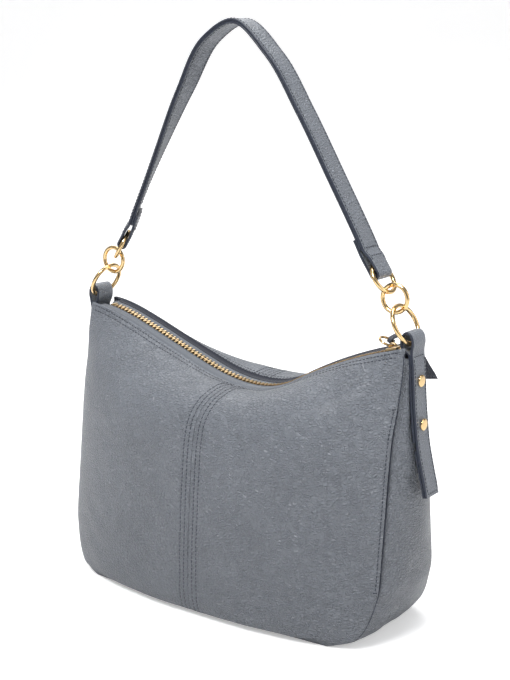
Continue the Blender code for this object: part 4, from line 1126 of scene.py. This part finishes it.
def thin_cloth(name, rows, half_t, material):
    lift = np.array([0, 0, half_t])
    return shell(name, rows + lift, rows - lift, [material], rim=(0, 0, 0, 0))


def add_edge_shade_strip():
    """Dark strip from the back edge down onto the tape: painted edge colour and painted shade."""
    x = np.linspace(-0.150, 0.1525, 200)
    rows = np.stack([np.stack([x, np.full(200, y), track_z(x) + h * MM], -1)
                     for y, h in EDGE_SHADE_STRIP])
    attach(thin_cloth("mouth_edge_shade_strip", rows, 0.22 * MM, EDGE_SHADE_CLOTH), "bag")


def add_tape(face, tag):
    x = np.linspace(-0.1535, 0.1535, 180)
    depth = LEATHER + GAP + 0.6 * MM
    under = [panel_inset(x / HALF_WIDTH, np.full(180, v), face, depth) for v in TAPE_UNDER_V]
    flat = [np.stack([x, np.full(180, face * y), track_z(x) + 0.10 * MM * np.sin(y * 900)], -1)
            for y in TAPE_FLAT_Y]
    name = "zip_tape_" + tag
    piece = thin_cloth(name, np.stack(under + flat), 0.28 * MM, TAPE_CLOTH)
    finish(piece, name, "bag")


for face, tag in FACES:
    add_facing(face, tag)
    add_edge_bead(face, tag)
    if face > 0:
        add_edge_shade_strip()
    add_tape(face, tag)

# ------------------------------------------------------------------ zip
# one tooth in mm: along the chain, outward from the chain's middle (the nose is negative)
TOOTH = np.array([(-.55, 4.15), (.55, 4.15), (.62, 2.2), (.50, 1.3), (.72, .35), (.50, -.75),
                  (.20, -1.10), (-.20, -1.10), (-.50, -.75), (-.72, .35), (-.50, 1.3),
                  (-.62, 2.2)]) * MM
# height and scale of the tooth's levels
TOOTH_LEVELS = [(-1.30 * MM, 0.86), (-0.95 * MM, 1.0), (0.95 * MM, 1.0), (1.30 * MM, 0.86)]


def add_teeth(face, tag, start):
    track = np.linspace(CHAIN_FROM, CHAIN_TO, 4001)
    run = lengths(along(track)[0])
    teeth = []
    for x in np.interp(np.arange(start, run[-1] - TOOTH_PITCH * 0.4, TOOTH_PITCH), run, track):
        point, tangent, normal = along(x)
        teeth.append(prism(point, (tangent, Y_AXIS * face, normal), TOOTH, TOOTH_LEVELS,
                           about=TOOTH.mean(0)))
    name = "zip_teeth_" + tag
    finish(add_solid(name, *join(teeth), [ZIP_GOLD], angle=35), name, "bag")


def add_bead(face, tag):
    """Corded bead the teeth are clamped on."""
    points, _, normals = along(np.linspace(CHAIN_FROM - 2 * MM, CHAIN_TO + 1 * MM, 200))
    r = 0.62 * MM
    bead = oval_tube(points + Y_AXIS * face * 4.35 * MM, Y_AXIS, normals, r, r, sides=8)
    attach(add_solid("zip_bead_" + tag, *bead, [TAPE_CLOTH]), "bag")


def add_stop(name):
    point, tangent, normal = along(float(mid_of(name)[0]))
    box = rounded_box(point, (2.3 * MM, 7.6 * MM, 2.8 * MM), (tangent, Y_AXIS, normal),
                      radius=0.45 * MM, segments=3)
    finish(add_solid(name, *box, [ZIP_GOLD]), name, "bag")


# half outline of a slider plate in mm: along the track, across
PLATE = [(-5.5, 3.9), (-5.0, 4.5), (-2.0, 4.9), (1.0, 5.4), (3.8, 5.4), (5.0, 4.6), (5.9, 2.4),
         (6.2, 0.8)]


def add_slider():
    """Two shield-shaped plates with side flanges, a post between them and a bridge on top."""
    origin, forward, up = along(SLIDER_X)
    axes = (forward, Y_AXIS, up)

    def place(x, y, z):
        return origin + (forward * x + Y_AXIS * y + up * z) * MM

    outline = np.array(PLATE + [(x, -y) for x, y in PLATE[::-1]]) * MM
    parts = []
    for z0, z1 in ((1.55, 2.75), (-2.75, -1.55)):
        levels = ((z0, .93), (z0 + .25, 1), (z1 - .25, 1), (z1, .93))
        parts.append(prism(origin, axes, outline, [(z * MM, scale) for z, scale in levels]))
    for y in (-1, 1):
        for z in (-1, 1):
            parts.append(rounded_box(place(0.2, y * 4.75, z * 1.3), (8.6 * MM, .8 * MM, 1.1 * MM),
                                     axes, radius=.2 * MM, segments=2))
    parts.append(rounded_box(place(4.6, 0, 0), (1.6 * MM, 2.2 * MM, 3.6 * MM), axes,
                             radius=.3 * MM, segments=2))
    turn = np.linspace(-0.12, np.pi + 0.12, 17)[:, None]
    bridge = place(-0.5 + 3.3 * np.cos(turn), 0, 2.4 + 3.5 * np.sin(turn))
    outward = forward * np.cos(turn) + up * np.sin(turn)
    parts.append(oval_tube(bridge, Y_AXIS, outward, 1.5 * MM, 0.6 * MM, sides=12))
    piece = add_solid("zip_slider", *join(parts), [ZIP_GOLD], angle=40)
    finish(piece, "zip_slider", "slider")


# the two rows of teeth interlock half a pitch apart
for (face, tag), start in zip(FACES, (1.0 * MM, 1.0 * MM + TOOTH_PITCH / 2)):
    add_teeth(face, tag, start)
    add_bead(face, tag)
for _, tag in SIDES:
    add_stop("zip_stop_" + tag)
add_slider()


# ------------------------------------------------------------------ rings and zip pull
def add_ring(name, e1, e2, radius, wire, body):
    """Wire ring in the plane of e1 and e2, centred on its solid."""
    e1, e2 = unit(e1), unit(e2)
    turn = np.linspace(0, 2 * np.pi, 96, endpoint=False)[:, None]
    out = np.cos(turn) * e1 + np.sin(turn) * e2
    ring = oval_tube(mid_of(name) + out * radius, out, np.cross(e1, e2), wire, wire,
                     sides=20, closed=True)
    finish(add_solid(name, *ring, [RING_GOLD], angle=80), name, body)


# the pull's hanging part, over the back of the mouth: X, Y, Z, half width mm
DRAPE = np.array([
    (.1420, .0105, .24400, 2.2), (.1438, .0150, .24330, 2.8), (.1465, .0195, .24150, 3.2),
    (.1492, .0232, .23800, 3.4), (.1518, .0260, .23250, 3.7), (.1543, .0282, .22600, 4.0),
    (.1570, .0300, .21900, 4.6), (.1598, .0316, .21200, 5.8), (.1612, .0324, .20730, 6.6)])


def add_pull_tag(lean):
    """Leather pull: wraps the ring, then hangs down outside the back panel."""
    joints = {joint["name"]: np.array(joint["pos_m"], float) for joint in frame["joints"]}
    centre = joints["pull_tag_swing"]
    up = unit(np.array([lean[2], 0, -lean[0]]))
    turn = np.radians(np.linspace(-90, 90, 13))[:, None]
    out = -Y_AXIS * np.cos(turn) + up * np.sin(turn)
    tail = [centre + Y_AXIS * 4.5 * MM - up * 0.85 * MM, centre + Y_AXIS * 2.0 * MM - up * 1.3 * MM]
    wrap = np.concatenate([tail, centre + out * 2.15 * MM])
    hang = DRAPE[:, :3]
    tangent = unit(np.gradient(np.concatenate([wrap[-1:], hang]), axis=0))[1:]
    # the hanging part turns from the ring's plane to face the back panel
    k = np.linspace(0, 1, len(hang))[:, None] ** 0.5
    hang_width = unit(-lean * (1 - k) + unit([.81, .58, 0.0]) * k)
    hang_normal = facing(unit(np.cross(hang_width, tangent)), (0, 0.3, 1))
    path = np.concatenate([wrap, hang])
    widths = np.concatenate([np.tile(-lean, (len(wrap), 1)), hang_width])
    normals = np.concatenate([[-up, -up], out, hang_normal])
    half_w = np.concatenate([np.full(len(wrap), 2.0 * MM), DRAPE[:, 3] * MM])
    run = lengths(path)
    at = np.concatenate([run[:len(wrap)], np.linspace(run[len(wrap)], run[-1], 40)])
    path, widths, normals = (resample(rows, run, at) for rows in (path, widths, normals))
    piece = sweep("pull_tag", path, widths, normals, np.interp(at, run, half_w), 1.3 * MM,
                  PULL_LEATHER, flat_points=6)
    finish(piece, "pull_tag", "zip_pull_tag")


pull_angle = np.radians(PULL_LEAN)
pull_lean = np.array([np.cos(pull_angle), 0, np.sin(pull_angle)])
add_ring("pull_ring", pull_lean, Y_AXIS, PULL_RING_R, PULL_WIRE_R, "zip_pull_ring")
add_pull_tag(pull_lean)

for side, tag in SIDES:
    chain = CHAINS[side]
    wire = WIRE_R * 0.985
    add_ring("bag_ring_" + tag, chain["bag_up"], Y_AXIS, BAG_RING_R, wire, "tab_ring_" + tag)
    add_ring("link_ring_" + tag, (1, 0, 0), (0, 0, 1), LINK_RING_R, wire, "small_link_" + tag)
    add_ring("strap_ring_" + tag, chain["strap_up"], chain["strap_width"], STRAP_RING_R, wire,
             "handle")

# ------------------------------------------------------------------ tabs and rivets
# Z stations of the tab: up the outside from its free end, and down between gusset and rivets
TAB_OUTER_Z = np.array([.1232, .132, .139, .147, .156, .166, .179, .195, .211, .224])
TAB_INNER_Z = np.array([.2330, .2260, .2110, .1950, .1790, .1660])
TAB_POINTS = 170
# rivet profile in mm: (in from the inner face, radius), then
# (in from the head's tip, radius, or the head's radius less this if negative or zero)
RIVET_FOOT = ((0, 0.8), (.1, 3.0), (.9, 3.2), (1.0, 1.6))
RIVET_HEAD = ((1.47, 1.6), (1.45, -.35), (1.25, -.05), (.95, 0), (.55, -.05), (.28, -.35),
              (.12, -.9), (.04, -2.2), (0, .3))


def tab_line(side):
    """X (taken positive) and Z of the tab's middle line, up over the loop and down inside."""
    up = LEFT_UP if side < 0 else 0.0
    half = TAB_T / 2
    z_outer, z_inner = TAB_OUTER_Z + up, TAB_INNER_Z + up
    # the free end kicks out
    kick = clamp((0.166 + up - z_outer) / 0.04) ** 1.5 * (6.2 * MM if side > 0 else 4.5 * MM)
    x_outer = gusset_x(z_outer, side) + GAP + TAB_T + 0.2 * MM + half + kick
    turn = np.radians(np.linspace(-25, 205, 21))
    x_loop = LOOP_AT[0] + (LOOP_HW + half) * np.cos(turn)
    z_loop = LOOP_AT[1] + up + (LOOP_HH + half) * np.sin(turn)
    x_inner = gusset_x(z_inner, side) + GAP + half
    knots = np.stack([np.concatenate([x_outer, x_loop, x_inner]),
                      np.concatenate([z_outer, z_loop, z_inner])], -1)
    line = spline(knots, per_span=20)
    run = lengths(line)
    return resample(line, run, np.linspace(0, run[-1], TAB_POINTS))


def add_tab(side, tag):
    up = LEFT_UP if side < 0 else 0.0
    line = tab_line(side)
    tangent = unit(np.gradient(line, axis=0))
    zero = np.zeros(TAB_POINTS)
    path = np.stack([side * line[:, 0], zero, line[:, 1]], -1)
    normals = np.stack([side * tangent[:, 1], zero, -tangent[:, 0]], -1)
    name = "side_tab_" + tag
    piece = sweep(name, path, Y_AXIS, normals, TAB_HALF_W, TAB_T, TAB_LEATHER, crown=0.15 * MM)
    finish(piece, name, "bag")
    # second layer behind the hanging part of the flap
    order = np.arange(TAB_POINTS)
    low = (line[:, 1] < 0.160 + up) & (order < 60)
    behind = (path - normals * (TAB_T + 0.05 * MM))[low]
    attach(sweep("tab_back_" + tag, behind, Y_AXIS, normals[low], TAB_HALF_W, 1.7 * MM,
                  TAB_LEATHER), "bag")
    # stitching along both sides and the free end, and the cross row under the loop
    run = (line[:, 1] < 0.2335 + up) & (order < np.argmax(line[:, 1]))
    rows = (path + normals * (TAB_T / 2 + 0.10 * MM))[run]
    row_normals = normals[run]
    group, half, end = "thread_tab_" + tag, TAB_HALF_W - 2.0 * MM, 2
    for y in (-1, 1):
        stitches(group, rows[end:] + Y_AXIS * y * half, row_normals[end:], END_STITCH)
    for i in (end, -1):
        cross_stitches(group, rows[i], Y_AXIS, half, row_normals[i], TAB_CROSS_STITCH)
    sew(group, "bag")


def add_rivet(name, side):
    lo, hi = box_of(name)
    mid_z, radius = (lo[2] + hi[2]) / 2, (hi[2] - lo[2]) / 2
    inner, tip = sorted((side * lo[0], side * hi[0]))
    profile = [(inner + x * MM, r * MM) for x, r in RIVET_FOOT]
    profile += [(tip - x * MM, r * MM if r > 0 else radius + r * MM) for x, r in RIVET_HEAD]
    centres = np.array([(side * x, 0, mid_z) for x, _ in profile])
    radii = [r for _, r in profile]
    rivet = oval_tube(centres, Y_AXIS, (0, 0, 1), radii, radii, sides=40)
    finish(add_solid(name, *rivet, [RING_GOLD], angle=50), name, "bag")


for side, tag in SIDES:
    add_tab(side, tag)
    for place in ("upper", "lower"):
        add_rivet(f"rivet_{tag}_{place}", side)


# ------------------------------------------------------------------ strap
def fold(s, sign):
    """Outer layer round a ring and back under the strap: path, widths, normals, half widths."""
    point, tangent, width, normal = (rows[0] for rows in strap_at(np.array([s])))
    turn = np.radians(np.linspace(80, -90, 16))[:, None]
    around = tangent * sign * np.cos(turn) + normal * np.sin(turn)
    back = np.linspace(2.5 * MM, TONGUE, 22)
    points, _, widths, normals = strap_at(back if sign < 0 else STRAP_LEN - back)
    # the tongue closes up to the strap by 0.42 mm
    depth = POCKET_HALF - 0.42 * MM * clamp(back / (0.5 * TONGUE))
    return (np.concatenate([point + around * POCKET_HALF, points - normals * depth[:, None]]),
            np.concatenate([np.tile(width, (16, 1)), widths]),
            np.concatenate([around, -normals]),
            np.concatenate([np.full(16, NECK_HALF_W), strap_half_w(back)]))


def add_strap():
    # outer layer: left fold, body, right fold
    s = np.linspace(0, STRAP_LEN, 300)
    points, _, widths, normals = strap_at(s)
    body = points + normals * layer_offset(s)[:, None]
    body_normals = unit(np.cross(widths, unit(np.gradient(body, axis=0))))
    body_normals = facing(body_normals, normals)
    half_w = strap_half_w(s)
    left, right = fold(0.0, -1), fold(STRAP_LEN, 1)
    strip = [np.concatenate([a[::-1], b, c])
             for a, b, c in zip(left, (body, widths, body_normals, half_w), right)]
    piece = sweep("strap_outer", *strip, STRAP_OUTER_T, STRAP_LEATHER, crown=0.25 * MM)
    finish(piece, "strap_outer", "handle")

    # inner layer
    inner_s = np.linspace(0.0215, STRAP_LEN - 0.0215, 240)
    points, _, inner_widths, inner_normals = strap_at(inner_s)
    inner_half_w = strap_half_w(inner_s)
    drop = 0.92 * MM
    piece = sweep("strap_lining", points - inner_normals * drop, inner_widths, inner_normals,
                  inner_half_w, STRAP_LINING_T + 0.1 * MM, STRAP_INNER)
    finish(piece, "strap_lining", "handle")

    # stitching along both edges of the outer and the inner face
    group, inset = "thread_strap", 2.3 * MM
    outer_rise = STRAP_OUTER_T / 2 + 0.12 * MM
    cross_rise = STRAP_OUTER_T / 2 + 0.25 * MM
    inner_drop = drop + STRAP_LINING_T / 2 + 0.10 * MM
    run = (s > 0.008) & (s < STRAP_LEN - 0.008)
    clear = TONGUE + 2 * MM
    inner_run = (inner_s > clear) & (inner_s < STRAP_LEN - clear)
    for y in (-1, 1):
        row = body + body_normals * outer_rise + widths * (half_w - inset)[:, None] * y
        stitches(group, row[run], body_normals[run], EDGE_STITCH)
        row = (points - inner_normals * inner_drop
               + inner_widths * (inner_half_w - inset)[:, None] * y)
        stitches(group, row[inner_run], -inner_normals[inner_run], EDGE_STITCH)

    # cross rows over each end, and a box on the tongue beneath
    for sign, (path, fold_widths, fold_normals, fold_half) in ((-1, left), (1, right)):
        for from_end in (0.0150, 0.0225):
            i = np.argmin(np.abs(s - (from_end if sign < 0 else STRAP_LEN - from_end)))
            cross_stitches(group, body[i] + body_normals[i] * cross_rise, widths[i],
                           half_w[i] - inset, body_normals[i], END_STITCH)
        tongue = slice(20, 38)
        for y in (-1, 1):
            row = (path + fold_normals * outer_rise
                   + fold_widths * (fold_half - inset)[:, None] * y)
            stitches(group, row[tongue], fold_normals[tongue], EDGE_STITCH)
        for i in (26, 36):
            cross_stitches(group, path[i] + fold_normals[i] * cross_rise, fold_widths[i],
                           fold_half[i] - inset, fold_normals[i], END_STITCH)
    sew(group, "handle")


add_strap()

# ------------------------------------------------------------------ inner solids kept as they are
for name, material in (("lining", LINING_CLOTH), ("base_board", BOARD_COVER)):
    solid = frame["nodes"][name]
    solid.data.materials.clear()
    solid.data.materials.append(material)

# ------------------------------------------------------------------ stage
STAGE_RIGHT = np.array([0.806, 0.592, 0.0])
STAGE_BACK = np.array([-0.592, 0.806, 0.0])
FLOOR_END, SWEEP_R = 2.2, 1.4      # the floor runs back to here, then curves up


def stage_at(right, back, up):
    return STAGE_RIGHT * right + STAGE_BACK * back + np.array([0, 0, up])


def add_backdrop():
    profile = [(-6.0, 0.0), (FLOOR_END, 0.0)]
    profile += [(FLOOR_END + SWEEP_R * np.sin(a), SWEEP_R - SWEEP_R * np.cos(a))
                for a in np.linspace(0.15, np.pi / 2, 10)]
    profile += [(FLOOR_END + SWEEP_R, 7.0)]
    verts = [stage_at(x, back, z - 0.0002) for back, z in profile for x in (-8.0, 8.0)]
    faces = [(2 * i, 2 * i + 1, 2 * i + 3, 2 * i + 2) for i in range(len(profile) - 1)]
    material, tree, shader = new_material("backdrop_paper")
    # the paper glows a little, for the camera only
    seen = new_node(tree, "LightPath").outputs["Is Camera Ray"]
    feed(shader, {"Base Color": (0.88, 0.88, 0.885, 1), "Roughness": 0.9,
                  "Emission Color": (1, 1, 1, 1),
                  "Emission Strength": math(tree, "MULTIPLY", seen, 0.40)})
    mesh = new_mesh("backdrop", verts, faces, [material])
    mesh.shade_smooth()
    link("backdrop", mesh)


def add_area(name, at, look, size, power):
    light = bpy.data.lights.new(name, "AREA")
    light.shape = "RECTANGLE"
    light.size, light.size_y = size
    light.energy = power
    light.color = (1, 1, 1)
    lamp = link(name, light)
    at = Vector(tuple(stage_at(*at)))
    lamp.location = at
    lamp.rotation_euler = (Vector(look) - at).to_track_quat("-Z", "Y").to_euler()


def add_world():
    """White to the camera; a soft sky otherwise, with streaks in reflections."""
    world = bpy.data.worlds.new("studio")
    bpy.context.scene.world = world
    world.use_nodes = True
    tree = world.node_tree
    tree.nodes.clear()
    out = new_node(tree, "OutputWorld")
    coords = new_node(tree, "TexCoord").outputs["Generated"]
    split = new_node(tree, "SeparateXYZ", {0: coords})
    rise = ramp(tree, split.outputs["Z"], start=-0.15, end=0.75, low=0.42, high=1.0)
    bands = wave(tree, coords, scale=0.45, distortion=1.0, bands_direction="DIAGONAL")
    streak = ramp(tree, bands, start=0.10, end=0.85, low=0.35, high=1.15)
    path = new_node(tree, "LightPath")
    glossy = path.outputs["Is Glossy Ray"]
    streaked = math(tree, "MULTIPLY", rise, streak)
    plain_part = math(tree, "MULTIPLY", rise, math(tree, "SUBTRACT", 1.0, glossy))
    streaked_part = math(tree, "MULTIPLY", streaked, glossy)
    level = math(tree, "ADD", plain_part, streaked_part)
    strength = math(tree, "MULTIPLY", level, 0.50)
    sky = new_node(tree, "Background", {"Color": (1, 1, 1, 1), "Strength": strength})
    white = new_node(tree, "Background", {"Strength": 1.0})
    mixed = new_node(tree, "MixShader", {0: path.outputs["Is Camera Ray"], 1: sky.outputs[0],
                                         2: white.outputs[0]})
    feed(out, {0: mixed.outputs[0]})


def add_camera(eye, turn, dip, lens, sensor):
    """Camera looking along +Y, turned left and dipped by degrees; lens and sensor in mm."""
    data = bpy.data.cameras.new("camera")
    data.sensor_fit, data.sensor_height = "VERTICAL", sensor
    data.lens = lens
    camera = link("camera", data)
    turn, dip = np.radians(turn), np.radians(dip)
    right = np.array([np.cos(turn), np.sin(turn), 0])
    ahead = np.array([-np.sin(turn) * np.cos(dip), np.cos(turn) * np.cos(dip), -np.sin(dip)])
    up = np.cross(right, ahead)
    pose = Matrix([[right[i], up[i], -ahead[i]] for i in range(3)]).to_4x4()
    pose.translation = Vector(eye)
    camera.matrix_world = pose
    bpy.context.scene.camera = camera


add_backdrop()
# places are (right, back, up) on the stage
add_area("key", at=(-0.7, -1.15, 1.75), look=(0, 0, 0.2), size=(0.75, 0.6), power=34)
add_area("top", at=(0.2, 0.1, 2.2), look=(0, 0, 0.1), size=(1.2, 1.2), power=22)
add_area("fill_right", at=(1.9, -0.6, 0.9), look=(0.05, 0, 0.2), size=(0.9, 1.4), power=10)
add_area("back", at=(-0.3, 2.0, 1.9), look=(0, 0, 0.3), size=(1.8, 0.9), power=16)
add_world()
add_camera(eye=(0.6448, -0.8616, 0.4604), turn=36.3, dip=12.4, lens=68.8235294, sensor=36.0)
view = bpy.context.scene.view_settings
view.view_transform = "Standard"
view.look = "None"
view.exposure = 0.0
